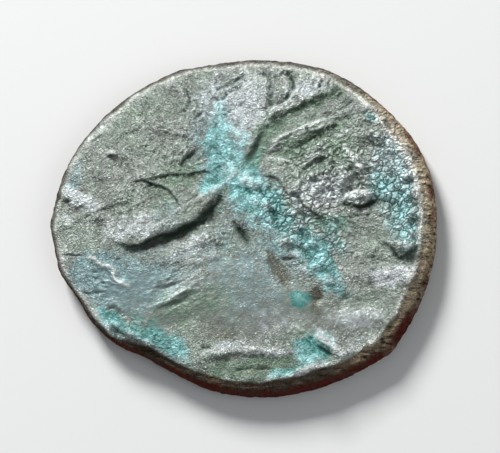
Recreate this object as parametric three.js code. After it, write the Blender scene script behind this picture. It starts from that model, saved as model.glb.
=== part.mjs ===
// A worn Roman bronze coin, struck off centre on an irregular oval flan.
// Millimetres, +Z up. The coin lies on its reverse at z = 0, with the struck obverse looking up.
// One closed surface is laid over a row of loops: out from the middle of the obverse, down the
// edge, and back in to the middle of the reverse.
import * as THREE from "three";

// ---- Flan ----
const COIN_LENGTH = 21.5; // along X
const COIN_WIDTH = 18.8; // along Y
// Distance from the middle to the edge, in steps of 20 degrees from +X towards +Y.
const EDGE_RADII = [
  10.75, 10.75, 10.3, 10.0, 9.55, 9.4, 9.7, 10.05, 10.45,
  10.55, 10.05, 9.5, 8.85, 9.15, 9.55, 10.05, 10.7, 10.75,
];
// Places where the edge split or was pinched when the coin was struck: angle and width in
// degrees, and how far the edge stands out, or in if negative.
const EDGE_FLAWS = [
  { angle: 111, width: 6, out: 0.1 },
  { angle: 178, width: 4, out: 0.13 },
  { angle: 192, width: 4, out: 0.12 },
  { angle: 203, width: 5, out: -0.12 },
  { angle: 231, width: 7, out: -0.13 },
  { angle: 319, width: 4, out: 0.14 },
];
const FACE_LEVEL = 1.62; // the obverse field, at the middle
const FACE_FALL = 0.16; // how much lower the field is at the rim
const RIM_ROUNDING = 0.16; // how far the field turns down over the last of the face
const RIM_START = 0.93; // where that turn begins, as a share of the way out
const GIRTH_LEVEL = 0.55; // height of the widest line of the edge
const BACK_LEVEL = 0.3; // the reverse field
const BACK_INSET = 0.38; // how far the reverse is narrower than the girth
const BEVEL = { least: 0.13, most: 0.55, towards: -50 }; // the sloping edge, widest towards that angle

// The face was struck a little off the flan's middle, and drawn out a little along one line.
const STRIKE = { shift: [0.15, -0.18], drawnOut: 1.027, along: -50 };

// ---- Fineness of the faceted solid ----
const FACE_RINGS = 34;
const EDGE_STEPS = 2;
const BACK_RINGS = 14;
const CURVE_PIECES = 24; // straight pieces that stand for one carved line
const CLIFF_SLOPE = 0.25; // half the width over which a cliff falls
const LEAST_WIDTH = 0.2; // no carved line is narrower than the facets can hold
const LEAD = 0.7; // how many points one loop may run ahead of the next when they are joined

const CREST_SHARPNESS = 1.3; // 1 gives a fold a knife edge, 2 a rounded one
const SWELLING_FLATNESS = 1.5; // 1 gives a swelling the shape of a bell, more a flatter top

const radians = THREE.MathUtils.degToRad;
const smooth = (low, high, x) => THREE.MathUtils.smoothstep(x, low, high);
const bell = (x) => Math.exp(-x * x);
const flat = ([x, y]) => new THREE.Vector2(x, y);

// ---- Ways to carve a line or a form. Each gives a height in mm at a point of the face ----

// A line from one point to another that stands off to its left by bow in the middle.
function arc(from, to, bow = 0) {
  const [start, end] = [flat(from), flat(to)];
  const off = end.clone().sub(start);
  const left = new THREE.Vector2(-off.y, off.x).setLength(2 * bow || 1e-9);
  const control = start.clone().add(end).multiplyScalar(0.5).add(left);
  return new THREE.QuadraticBezierCurve(start, control, end);
}

const through = (...points) => new THREE.SplineCurve(points.map(flat));

// Distance to the nearest place on a curve, positive on its left, and how far along that is.
function nearest(points, p) {
  let best = { distance: Infinity, along: 0 };
  for (let i = 1; i < points.length; i++) {
    const [a, b] = [points[i - 1], points[i]];
    const [dx, dy] = [b.x - a.x, b.y - a.y];
    const share = THREE.MathUtils.clamp(((p.x - a.x) * dx + (p.y - a.y) * dy) / (dx * dx + dy * dy), 0, 1);
    const [ex, ey] = [p.x - a.x - share * dx, p.y - a.y - share * dy];
    const distance = Math.hypot(ex, ey);
    if (distance < Math.abs(best.distance)) {
      const side = dx * ey - dy * ex < 0 ? -1 : 1;
      best = { distance: side * distance, along: (i - 1 + share) / (points.length - 1) };
    }
  }
  return best;
}

// A stroke fades out over this share of its length at each end.
const fadeAtEnds = (along, share) => smooth(0, share, along) * smooth(0, share, 1 - along);

function stroke(curve, fade, profile) {
  const points = curve.getPoints(CURVE_PIECES);
  return (p) => {
    const { distance, along } = nearest(points, p);
    return profile(distance, along) * fadeAtEnds(along, fade);
  };
}

const ridge = (curve, width, height, fade = 0.25) =>
  stroke(curve, fade, (d) => height * bell(d / Math.max(width, LEAST_WIDTH)));

const groove = (curve, width, depth, fade = 0.25) => ridge(curve, width, -depth, fade);

// A small cliff: the metal stands up on the left of the line and falls away on its right.
const cliff = (curve, up, down, leftWidth, rightWidth, fade = 0.2) =>
  stroke(curve, fade, (d) => {
    const high = smooth(-CLIFF_SLOPE, CLIFF_SLOPE, d);
    return high * up * bell(d / leftWidth) - (1 - high) * down * bell(d / rightWidth);
  });

// A rounded fold on the left of the line, steep where it ends at the line.
const lip = (curve, height, startWidth, endWidth, back, fade = 0.25) =>
  stroke(curve, fade, (d, along) => {
    const width = THREE.MathUtils.lerp(startWidth, endWidth, along);
    const out = THREE.MathUtils.clamp(d / width, 0, 1);
    return height * Math.sin((out * Math.PI) / 2) * bell(Math.max(0, d - width) / back);
  });

// A sharp crest with an uneven slope on each side.
const fold = (curve, height, leftWidth, rightWidth, fade = 0.25) =>
  stroke(curve, fade, (d) => {
    const width = Math.max(d > 0 ? leftWidth : rightWidth, LEAST_WIDTH);
    return height * Math.exp(-((Math.abs(d) / width) ** CREST_SHARPNESS));
  });

// A rounded swelling or hollow, longer along the angle it is turned by.
function swelling([x, y], [long, short], turn, height) {
  const [c, s] = [Math.cos(radians(turn)), Math.sin(radians(turn))];
  return (p) => {
    const [dx, dy] = [p.x - x, p.y - y];
    const reach = Math.hypot((dx * c + dy * s) / long, (dy * c - dx * s) / short);
    return height * bell(reach ** SWELLING_FLATNESS);
  };
}

// Lumps of corrosion strewn over an oval, in a sunflower pattern with sizes that come and go.
function crust([x, y], [long, short], turn, count, lump, height) {
  const [c, s] = [Math.cos(radians(turn)), Math.sin(radians(turn))];
  const GOLDEN_TURN = 2.39996;
  return Array.from({ length: count }, (_, i) => {
    const reach = Math.sqrt((i + 0.5) / count);
    const [u, v] = [reach * long * Math.cos(i * GOLDEN_TURN), reach * short * Math.sin(i * GOLDEN_TURN)];
    const rise = height * (0.65 + 0.35 * Math.sin(5.3 * i));
    return swelling([x + u * c - v * s, y + u * s + v * c], [lump, lump], 0, rise);
  });
}

// ---- Obverse ----

// The long blade breaks off in a curved cliff at its lower right side, and has a thin crest.
const bladePoints = [
  [-7.1, -0.75], [-6.3, -0.96], [-5.5, -0.93], [-4.75, -0.5], [-3.7, -0.25], [-2.8, 0.2],
  [-2.0, 0.7], [-1.4, 1.3], [-1.0, 2.0], [-0.3, 2.85],
];
const bladeEdge = through(...bladePoints);
const bladeFoot = through(...bladePoints.slice(0, 8));
const bladeCrest = through(
  [-5.4, -0.5], [-4.15, 0.55], [-3.2, 1.28], [-2.35, 1.72], [-1.4, 2.27], [-0.4, 3.05], [0.0, 3.7],
);
// The raised plate ends above the folds in a long bend.
const plateEdge = through(
  [-0.5, 2.8], [0.2, 3.8], [0.65, 4.5], [0.9, 5.1], [1.15, 5.6], [1.6, 6.05], [2.3, 6.4],
  [3.2, 6.75], [4.1, 7.15], [4.9, 7.5], [5.5, 8.1],
);
// Two spikes left of the blade overlap.
const lowSpike = through(
  [-6.3, 2.6], [-5.4, 2.7], [-4.9, 2.5], [-4.1, 2.22], [-3.85, 1.95], [-3.3, 1.1],
);
const highSpike = through([-5.3, 2.8], [-4.1, 3.03], [-3.0, 3.03], [-1.4, 3.25]);
// Two folds right of the blade, and the shelf that overhangs the corroded middle.
const upperFold = through([1.4, 4.1], [2.03, 4.94], [2.9, 5.33], [3.9, 5.72], [4.9, 6.2]);
const lowerFold = through(
  [2.15, 4.15], [2.8, 4.45], [3.6, 4.88], [4.4, 5.3], [5.0, 5.65], [5.8, 6.2],
);
const shelf = through([5.2, 1.5], [5.85, 1.27], [6.4, 1.15], [6.9, 1.3], [7.7, 1.75]);
// The mass right of the blade ends in a ragged step above the corroded middle.
const massEdge = through(
  [0.5, 3.0], [1.1, 2.92], [1.66, 2.85], [2.05, 2.6], [2.3, 2.2], [2.5, 1.85], [3.0, 1.85],
  [3.3, 1.3], [3.9, 0.85], [4.5, 0.45],
);
const squiggle = through(
  [-8.7, -1.35], [-8.3, -1.5], [-7.95, -1.8], [-7.45, -1.97], [-7.15, -2.2], [-7.15, -2.55],
  [-6.85, -2.85], [-6.1, -3.15],
);
const rightCrease = through(
  [7.3, -0.8], [7.95, -0.95], [8.25, -1.3], [8.55, -1.65], [9.05, -1.4], [9.7, -0.9],
);
const leftGroove = through([-10.3, 0.05], [-9.5, 0.3], [-8.6, 0.85], [-7.1, 1.38], [-6.0, 1.4]);

const obverse = [
  // broad forms
  swelling([-4.6, 4.2], [5.6, 4.0], 48, 0.13),
  swelling([-6.0, 0.1], [1.9, 0.8], 18, 0.14),
  swelling([-0.4, -3.9], [4.2, 2.5], -6, 0.2),
  swelling([5.0, 3.3], [3.2, 2.3], 20, 0.14),
  swelling([8.7, 0.7], [2.4, 1.1], 95, 0.13),
  swelling([8.1, -2.5], [1.5, 0.5], 4, 0.12),
  swelling([6.2, -4.9], [1.6, 0.6], 6, 0.1),
  swelling([1.7, 0.9], [2.6, 0.9], -45, 0.08),
  swelling([-2.9, -0.9], [2.1, 0.6], 22, 0.08),
  // the blade, its crest and the long bend of the plate
  lip(bladeEdge, 0.29, 0.25, 0.65, 1.5, 0.3),
  cliff(bladeFoot, 0.0, 0.14, 0.5, 0.7, 0.2),
  fold(bladeCrest, 0.09, 0.16, 0.4, 0.2),
  cliff(plateEdge, 0.05, 0.15, 1.2, 0.5, 0.2),
  // overlapping spikes and the terrace above them
  cliff(lowSpike, 0.05, 0.05, 0.9, 0.5, 0.12),
  cliff(highSpike, 0.05, 0.05, 0.7, 0.4, 0.15),
  swelling([-2.5, 4.05], [0.85, 0.36], 40, -0.08),
  cliff(arc([-3.6, 3.5], [-2.4, 4.7]), 0.05, 0.07, 0.5, 0.4, 0.2),
  cliff(
    through([-8.4, 4.9], [-5.7, 5.6], [-4.5, 5.4], [-3.2, 5.05], [-2.4, 4.85]),
    0.08, 0.03, 1.2, 1.4, 0.25,
  ),
  // worn strokes along the upper rim
  groove(through([-3.2, 8.0], [-2.85, 7.2], [-2.95, 6.7], [-3.7, 6.1]), 0.13, 0.08),
  groove(arc([-1.6, 7.6], [0.3, 8.65], -0.08), 0.13, 0.09, 0.15),
  groove(through([0.25, 8.5], [0.2, 8.0], [-0.6, 7.6], [-1.2, 7.2], [-1.9, 7.3]), 0.12, 0.12, 0.15),
  groove(through([1.0, 8.85], [1.5, 8.1], [1.62, 7.4], [1.55, 6.5]), 0.19, 0.14, 0.12),
  fold(through([1.05, 8.4], [1.38, 7.6], [1.25, 6.6]), 0.1, 0.12, 0.3, 0.15),
  groove(through([2.4, 8.8], [2.82, 8.0], [2.55, 7.3], [1.9, 6.65]), 0.18, 0.13, 0.12),
  ridge(arc([1.7, 6.45], [3.4, 7.6], 0.05), 0.16, 0.13),
  groove(arc([4.2, 7.7], [4.62, 8.4]), 0.1, 0.12),
  groove(arc([4.6, 7.9], [5.0, 8.4]), 0.1, 0.12),
  // folds right of the blade
  ridge(arc([2.4, 5.85], [5.4, 6.9], 0.05), 0.34, 0.09),
  fold(upperFold, 0.13, 0.17, 0.42, 0.2),
  cliff(lowerFold, 0.03, 0.09, 0.4, 0.6, 0.25),
  swelling([1.95, 5.6], [0.5, 0.42], 40, -0.13),
  swelling([1.95, 5.62], [0.17, 0.13], 40, 0.08),
  ridge(through([6.0, 7.4], [7.6, 6.35], [8.7, 4.9], [9.45, 3.2], [9.85, 1.5]), 0.14, 0.12),
  cliff(massEdge, 0.05, 0.08, 0.9, 0.6, 0.15),
  cliff(through([3.1, 2.9], [3.5, 3.4], [4.1, 3.75], [5.0, 3.95]), 0.06, 0.05, 0.45, 0.45, 0.25),
  fold(through([5.5, 4.6], [5.85, 4.1], [6.1, 3.65], [6.6, 3.0]), 0.1, 0.25, 0.1, 0.15),
  swelling([7.3, 5.2], [0.9, 0.4], 8, 0.14),
  swelling([6.95, 4.6], [0.75, 0.3], 8, -0.05),
  groove(through([5.6, 3.65], [6.05, 3.15], [6.35, 2.7], [6.5, 2.25]), 0.14, 0.07),
  swelling([6.3, 1.75], [1.0, 0.22], 12, 0.14),
  cliff(shelf, 0.0, 0.1, 0.4, 0.4, 0.2),
  groove(arc([5.6, 2.05], [7.0, 2.2], 0.03), 0.12, 0.1),
  cliff(rightCrease, 0.07, 0.03, 0.9, 0.3, 0.12),
  swelling([4.4, 0.4], [0.4, 0.2], -40, -0.12),
  // folds and cracks at the left and below
  ridge(arc([-4.3, -1.15], [-1.8, -0.25]), 0.3, 0.06),
  ridge(arc([-3.4, -1.9], [-1.1, -1.25]), 0.28, 0.07),
  cliff(through([-5.0, -3.15], [-4.3, -3.05], [-3.3, -2.8]), 0.04, 0.05, 0.5, 0.4, 0.3),
  fold(through([-5.0, -4.35], [-4.4, -4.1], [-3.6, -3.65], [-2.6, -3.05]), 0.07, 0.2, 0.2, 0.2),
  groove(arc([-4.9, -4.35], [-2.9, -3.75], -0.05), 0.14, 0.06),
  cliff(leftGroove, 0.05, 0.0, 0.6, 0.4, 0.3),
  fold(squiggle, 0.13, 0.16, 0.2, 0.12),
  swelling([-8.9, 1.65], [1.2, 0.42], -30, 0.17),
  cliff(arc([-7.6, -4.05], [-6.6, -4.6], 0.12), 0.04, 0.07, 0.8, 0.5, 0.3),
  cliff(through([-3.0, -7.3], [-1.3, -6.95], [0.2, -6.85], [2.9, -7.0]), 0.09, 0.08, 0.5, 0.9, 0.2),
  swelling([3.7, -7.7], [1.1, 0.28], 12, 0.16),
  fold(through([3.8, -5.8], [4.5, -6.3], [5.2, -6.85], [5.8, -7.2]), 0.16, 0.3, 0.2, 0.2),
  groove(arc([4.0, -6.45], [4.8, -7.0]), 0.12, 0.08),
  fold(through([3.4, -1.3], [4.1, -2.15], [4.9, -2.9], [5.6, -3.8]), 0.1, 0.3, 0.3, 0.2),
  groove(arc([1.7, -1.3], [2.6, -3.3]), 0.35, 0.08),
  swelling([3.1, -3.95], [0.55, 0.5], 0, 0.04),
  // pits and a nodule
  swelling([0.0, -0.2], [0.75, 0.36], 122, -0.15),
  swelling([4.0, -3.7], [0.4, 0.46], 90, -0.15),
  swelling([5.55, -3.8], [0.25, 0.18], 40, -0.08),
  swelling([7.1, -2.4], [0.3, 0.2], 0, -0.08),
  swelling([8.1, -5.5], [0.25, 0.2], 20, -0.12),
  swelling([-7.2, 4.25], [0.26, 0.2], 0, 0.16),
  swelling([-7.17, 4.0], [0.3, 0.13], 0, -0.04),
  // corrosion crusts
  ...crust([5.2, 2.4], [2.7, 1.5], 8, 24, 0.42, 0.13),
  ...crust([8.5, 1.2], [2.7, 1.1], 95, 20, 0.4, 0.14),
  ...crust([2.3, 0.3], [3.4, 1.1], -52, 26, 0.4, 0.14),
];

// ---- Reverse: worn down, so that its high parts lie in one plane ----
const OVALNESS = 1.1; // the border and legend are this much longer than wide
const BORDER = { radius: 7.4, width: 0.75, height: 0.48, wornAt: -60, wornOver: 0.5 };
const LEGEND = { radius: 6.1, strokes: 22, length: 0.9, width: 0.3, height: 0.12 };

// The ring of the border, half worn away in one place.
const borderRing = (p) => {
  const away = Math.hypot(p.x / OVALNESS, p.y) - BORDER.radius;
  const left = 1 - 0.5 * bell((Math.atan2(p.y, p.x) - radians(BORDER.wornAt)) / BORDER.wornOver);
  return BORDER.height * left * bell(away / BORDER.width);
};

// Short strokes of the lost legend, leaning this way and that.
const legendStrokes = Array.from({ length: LEGEND.strokes }, (_, i) => {
  const half = LEGEND.strokes / 2;
  const angle = radians(i < half ? 28 + 12 * i : 208 + 10 * (i - half));
  const lean = angle + 0.35 * Math.sin(7 * i);
  const [x, y] = [LEGEND.radius * OVALNESS * Math.cos(angle), LEGEND.radius * Math.sin(angle)];
  const end = [x + LEGEND.length * Math.cos(lean), y + LEGEND.length * Math.sin(lean)];
  return ridge(arc([x, y], end), LEGEND.width, LEGEND.height);
});

const reverse = [
  borderRing,
  ...legendStrokes,
  swelling([0.2, 0.6], [4.4, 1.5], 88, 0.5), // worn upright form in the middle
  swelling([-2.3, 1.4], [1.9, 0.6], 35, 0.22),
  swelling([2.4, 0.5], [2.2, 0.6], 120, 0.22),
  ridge(arc([-3.6, -4.6], [3.8, -4.5], -0.1), 0.4, 0.25), // ground line
];

const heightAt = (forms, p) => forms.reduce((sum, form) => sum + form(p), 0);

// Where a point of the flan lies on the die, which was neither centred nor square on it.
function struck(p) {
  const line = flat([Math.cos(radians(STRIKE.along)), Math.sin(radians(STRIKE.along))]);
  const off = p.clone().sub(flat(STRIKE.shift));
  return off.addScaledVector(line, (1 / STRIKE.drawnOut - 1) * off.dot(line));
}

// ---- The flan's outline ----

function edgeRadius(angle) {
  const turn = (((angle / (2 * Math.PI)) % 1) + 1) % 1;
  const place = turn * EDGE_RADII.length;
  const i = Math.floor(place);
  const [a, b, c, d] = [-1, 0, 1, 2].map((k) => EDGE_RADII[(i + k + EDGE_RADII.length) % EDGE_RADII.length]);
  const u = place - i;
  const even = b + 0.5 * u * (c - a + u * (2 * a - 5 * b + 4 * c - d + u * (3 * (b - c) + d - a)));
  const flaw = EDGE_FLAWS.reduce((sum, f) => sum + f.out * bell(((turn * 360 - f.angle) / f.width)), 0);
  return even + flaw;
}

// The outline's own box is brought to the stated length and width about the origin.
const raw = new THREE.Box2().setFromPoints(
  Array.from({ length: 720 }, (_, i) => outlineBefore((i * Math.PI) / 360)),
);
const [rawMiddle, rawSize] = [raw.getCenter(new THREE.Vector2()), raw.getSize(new THREE.Vector2())];

function outlineBefore(angle) {
  return new THREE.Vector2(Math.cos(angle), Math.sin(angle)).multiplyScalar(edgeRadius(angle));
}

function outline(angle, inset = 0) {
  const p = outlineBefore(angle).sub(rawMiddle);
  p.set((p.x * COIN_LENGTH) / rawSize.x, (p.y * COIN_WIDTH) / rawSize.y);
  return p.setLength(p.length() - inset);
}

function bevelAt(angle) {
  const lean = Math.max(0, Math.cos(angle - radians(BEVEL.towards)));
  return BEVEL.least + (BEVEL.most - BEVEL.least) * Math.sqrt(lean);
}

// ---- Loops of the surface, each a number of points and the place of the point at an angle ----

// reach runs from 0 at the middle of a face to 1 at its rim.
function facePoint(angle, reach) {
  const p = outline(angle, bevelAt(angle)).multiplyScalar(reach);
  const past = Math.max(0, (reach - RIM_START) / (1 - RIM_START));
  const relief = heightAt(obverse, struck(p)) * (1 - past * past);
  const level = FACE_LEVEL - FACE_FALL * reach * reach - RIM_ROUNDING * past * past;
  return new THREE.Vector3(p.x, p.y, level + relief);
}

function backPoint(angle, reach) {
  const p = outline(angle, BACK_INSET).multiplyScalar(reach);
  return new THREE.Vector3(p.x, p.y, Math.max(0, BACK_LEVEL - heightAt(reverse, p)));
}

// A quarter of an oval, from the rim of a face (turn 0) to the girth (turn 1).
function edgePoint(rim, angle, turn) {
  const girth = outline(angle);
  const out = Math.sin((turn * Math.PI) / 2);
  const down = 1 - Math.cos((turn * Math.PI) / 2);
  return new THREE.Vector3(
    THREE.MathUtils.lerp(rim.x, girth.x, out),
    THREE.MathUtils.lerp(rim.y, girth.y, out),
    THREE.MathUtils.lerp(rim.z, GIRTH_LEVEL, down),
  );
}

const loop = (count, place) =>
  Array.from({ length: count }, (_, i) => place((2 * Math.PI * i) / count));

const rings = (count, point) =>
  Array.from({ length: count }, (_, k) => loop(6 * (k + 1), (angle) => point(angle, (k + 1) / count)));

function coinLoops() {
  const edge = 6 * FACE_RINGS;
  const upper = Array.from({ length: EDGE_STEPS }, (_, k) =>
    loop(edge, (angle) => edgePoint(facePoint(angle, 1), angle, (k + 1) / EDGE_STEPS)),
  );
  const lower = loop(6 * BACK_RINGS, (angle) => edgePoint(backPoint(angle, 1), angle, 0.5));
  return [
    [facePoint(0, 0)],
    ...rings(FACE_RINGS, facePoint),
    ...upper,
    lower,
    ...rings(BACK_RINGS, backPoint).reverse(),
    [backPoint(0, 0)],
  ];
}

// ---- One closed surface over the loops, which may differ in their number of points ----

// Of the two ways to cut the next four points, the better joins points of more equal height.
const unevenness = (a, b) => Math.hypot(a.x - b.x, a.y - b.y, 2 * (a.z - b.z));

// Triangles between two loops, walking round both and letting neither run ahead of the other.
function strip(inner, outer, innerStart, outerStart) {
  const [n, m] = [inner.length, outer.length];
  const triangles = [];
  let [i, j] = [0, 0];
  while (i < n || j < m) {
    const [a, b] = [innerStart + (i % n), outerStart + (j % m)];
    const ahead = (j + 0.5) / m - (i + 0.5) / n;
    const outerIsEvener =
      unevenness(inner[i % n], outer[(j + 1) % m]) < unevenness(inner[(i + 1) % n], outer[j % m]);
    const free = Math.abs(ahead) < LEAD / Math.max(n, m) && i < n && j < m;
    if (free ? outerIsEvener : i >= n || (j < m && ahead <= 0)) {
      triangles.push(a, b, outerStart + (++j % m));
    } else {
      triangles.push(a, b, innerStart + (++i % n));
    }
  }
  return triangles;
}

// Triangles from one point to the loop about it.
const fan = (middle, start, count) =>
  Array.from({ length: count }, (_, i) => [middle, start + i, start + ((i + 1) % count)]).flat();

function skin(loops) {
  const starts = loops.map((_, k) => loops.slice(0, k).flat().length);
  const last = loops.length - 1;
  const triangles = fan(starts[0], starts[1], loops[1].length);
  for (let k = 2; k < last; k++) {
    triangles.push(...strip(loops[k - 1], loops[k], starts[k - 1], starts[k]));
  }
  const bottom = fan(starts[last], starts[last - 1], loops[last - 1].length);
  triangles.push(...bottom.reverse());
  const geometry = new THREE.BufferGeometry().setFromPoints(loops.flat());
  geometry.setIndex(triangles);
  geometry.computeVertexNormals();
  return geometry;
}

const patinatedBronze = new THREE.MeshStandardMaterial({
  color: new THREE.Color(0.35, 0.39, 0.36),
  roughness: 0.55,
  metalness: 0.35,
});

const coin = new THREE.Mesh(skin(coinLoops()), patinatedBronze);
coin.name = "coin";

const part = new THREE.Group();
part.add(coin);

export default part;
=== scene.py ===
"""A worn Roman bronze coin, struck off centre on an irregular oval flan, lying on its reverse.

The flan is made as a blank with a struck face, an edge and a plainer back, and then struck: its
points are moved by carved lines, swellings and crusts given in millimetres.
"""

import math

import bpy
import numpy as np
from bpy.props import FloatProperty, FloatVectorProperty, IntProperty, PointerProperty
from mathutils import Matrix, Vector, noise


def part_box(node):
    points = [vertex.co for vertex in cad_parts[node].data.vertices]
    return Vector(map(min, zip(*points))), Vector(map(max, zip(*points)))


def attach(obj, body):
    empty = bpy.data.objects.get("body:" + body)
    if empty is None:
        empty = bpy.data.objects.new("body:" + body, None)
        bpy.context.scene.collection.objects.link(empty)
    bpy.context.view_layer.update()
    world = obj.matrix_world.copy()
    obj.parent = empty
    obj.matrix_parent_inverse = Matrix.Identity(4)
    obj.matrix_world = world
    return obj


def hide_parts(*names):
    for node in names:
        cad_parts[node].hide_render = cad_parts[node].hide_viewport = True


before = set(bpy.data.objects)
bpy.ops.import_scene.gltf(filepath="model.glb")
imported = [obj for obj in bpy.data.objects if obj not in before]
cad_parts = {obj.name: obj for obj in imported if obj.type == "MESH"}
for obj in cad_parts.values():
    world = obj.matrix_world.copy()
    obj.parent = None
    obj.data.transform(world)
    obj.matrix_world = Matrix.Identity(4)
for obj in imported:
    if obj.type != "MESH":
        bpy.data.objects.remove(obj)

bl_info = {
    "name": "Roman bronze coin",
    "version": (1, 0, 0),
    "blender": (4, 5, 0),
    "location": "View3D > Sidebar > Coin",
    "description": "Strikes a worn, patinated Roman bronze coin and sets up a studio round it",
    "category": "Add Mesh",
}

MM = 0.001
SOLID_LOW, SOLID_HIGH = (Vector(corner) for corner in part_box("coin"))
SOLID_SIZE = SOLID_HIGH - SOLID_LOW

# ---------------------------------------------------------------------------------------------
# The flan, in millimetres about its middle
# ---------------------------------------------------------------------------------------------

FIELD_LEVEL = 1.62  # the obverse field, at its middle
FIELD_FALL = 0.16  # how much lower the field is at the rim
RIM_ROUNDING = 0.16  # how far the field turns down over the last of the face
RIM_START = 0.93  # where that turn begins, as a share of the way out
GIRTH_LEVEL = 0.55  # height of the widest line of the edge
BACK_LEVEL = 0.3  # the reverse field
BACK_INSET = 0.38  # how far the reverse is narrower than the girth
BEVEL_LEAST, BEVEL_MOST = 0.13, 0.55  # width of the sloping edge
BEVEL_TOWARDS = math.radians(-50)  # the side on which it is widest

# Distance from the middle to the edge, in steps of 20 degrees from +X towards +Y.
EDGE_RADII = [
    10.75, 10.75, 10.3, 10.0, 9.55, 9.4, 9.7, 10.05, 10.45,
    10.55, 10.05, 9.5, 8.85, 9.15, 9.55, 10.05, 10.7, 10.75,
]  # fmt: skip

# Splits and pinches of the edge: angle and width in degrees, and how far it stands out.
EDGE_FLAWS = [
    (111, 6, 0.1),
    (178, 4, 0.13),
    (192, 4, 0.12),
    (203, 5, -0.12),
    (231, 7, -0.13),
    (319, 4, 0.14),
]


def bell(x):
    return np.exp(-x * x)


def smooth(low, high, x):
    share = np.clip((x - low) / (high - low), 0, 1)
    return share * share * (3 - 2 * share)


def edge_radius(angle):
    """Distance to the edge at each angle, on an even curve through EDGE_RADII."""
    degrees = np.degrees(angle) % 360
    place = degrees / 360 * len(EDGE_RADII)
    first = np.floor(place).astype(int)
    u = place - first
    radii = np.array(EDGE_RADII)
    a, b, c, d = (radii[(first + k) % len(radii)] for k in (-1, 0, 1, 2))
    even = b + 0.5 * u * (c - a + u * (2 * a - 5 * b + 4 * c - d + u * (3 * (b - c) + d - a)))
    return even + sum(out * bell((degrees - at) / width) for at, width, out in EDGE_FLAWS)


def outline(angle, inset, length, width):
    """Points of the outline at each angle, brought in by inset, in a box of length by width."""

    def loose(turn):
        return edge_radius(turn)[:, None] * np.column_stack([np.cos(turn), np.sin(turn)])

    whole = loose(np.radians(np.arange(0, 360, 0.5)))
    low, high = whole.min(0), whole.max(0)
    points = (loose(angle) - (low + high) / 2) * np.array([length, width]) / (high - low)
    far = np.linalg.norm(points, axis=1)
    return points * ((far - inset) / far)[:, None]


# ---------------------------------------------------------------------------------------------
# Ways to carve. Each gives a height in millimetres at every point of an array
# ---------------------------------------------------------------------------------------------


def arc(start, end, bow=0.0, pieces=14):
    """A line from start to end that stands off to its left by bow in the middle."""
    start, end = np.array(start, float), np.array(end, float)
    along = end - start
    left = np.array([-along[1], along[0]]) / np.hypot(*along)
    control = (start + end) / 2 + 2 * bow * left
    t = np.linspace(0, 1, pieces + 1)[:, None]
    return (1 - t) ** 2 * start + 2 * t * (1 - t) * control + t * t * end


def through(*points, pieces=28):
    """An even line through all the points."""
    points = np.array(points, float)
    padded = np.vstack([2 * points[0] - points[1], points, 2 * points[-1] - points[-2]])
    place = np.linspace(0, len(points) - 1, pieces + 1)
    first = np.minimum(place.astype(int), len(points) - 2)
    u = (place - first)[:, None]
    a, b, c, d = (padded[first + k] for k in range(4))
    return b + 0.5 * u * (c - a + u * (2 * a - 5 * b + 4 * c - d + u * (3 * (b - c) + d - a)))


def nearest(line, xy):
    """Distance to the line, positive on its left, and how far along it that is."""
    gap = np.full(len(xy), np.inf)
    along = np.zeros(len(xy))
    for i, (a, b) in enumerate(zip(line[:-1], line[1:])):
        step = b - a
        share = np.clip(((xy - a) @ step) / (step @ step), 0, 1)
        off = xy - a - share[:, None] * step
        distance = np.hypot(off[:, 0], off[:, 1])
        side = np.where(step[0] * off[:, 1] - step[1] * off[:, 0] < 0, -1, 1)
        nearer = distance < np.abs(gap)
        gap = np.where(nearer, side * distance, gap)
        along = np.where(nearer, (i + share) / (len(line) - 1), along)
    return gap, along


def stroke(line, reach, fade, profile):
    """A form that follows a line, as far as reach from it, and fades out at its two ends."""

    def height(xy):
        rise = np.zeros(len(xy))
        near = ((xy > line.min(0) - reach) & (xy < line.max(0) + reach)).all(1)
        if near.any():
            gap, along = nearest(line, xy[near])
            ends = smooth(0, fade, along) * smooth(0, fade, 1 - along)
            rise[near] = profile(gap, along) * ends
        return rise

    return height


def ridge(line, width, height, fade=0.25):
    return stroke(line, 2.5 * width, fade, lambda gap, along: height * bell(gap / width))


def groove(line, width, depth, fade=0.25):
    return ridge(line, width, -depth, fade)


def cliff(line, up, down, left_width, right_width, fade=0.2, slope=0.12):
    """The metal stands up on the left of the line and falls away on its right."""

    def profile(gap, along):
        high = smooth(-slope, slope, gap)
        lower = down * bell(gap / right_width)
        return high * up * bell(gap / left_width) - (1 - high) * lower

    return stroke(line, 2.5 * max(left_width, right_width), fade, profile)


def lip(line, height, start_width, end_width, back, fade=0.25):
    """A rounded fold on the left of the line, steep where it ends at the line."""

    def profile(gap, along):
        width = start_width + (end_width - start_width) * along
        out = np.clip(gap / width, 0, 1)
        return height * np.sin(out * math.pi / 2) * bell(np.maximum(0, gap - width) / back)

    return stroke(line, max(start_width, end_width) + 2.5 * back, fade, profile)


def fold(line, height, left_width, right_width, fade=0.25):
    """A sharp crest with an uneven slope on each side."""

    def profile(gap, along):
        return height * np.exp(-((np.abs(gap) / np.where(gap > 0, left_width, right_width)) ** 1.3))

    return stroke(line, 2.8 * max(left_width, right_width), fade, profile)


def swelling(middle, radii, turn, height):
    """A rounded swelling or hollow, longer along the angle it is turned by."""
    c, s = math.cos(math.radians(turn)), math.sin(math.radians(turn))

    def rise(xy):
        off = xy - np.array(middle)
        along, across = off @ np.array([c, s]), off @ np.array([-s, c])
        return height * bell(np.hypot(along / radii[0], across / radii[1]) ** 1.5)

    return rise


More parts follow.
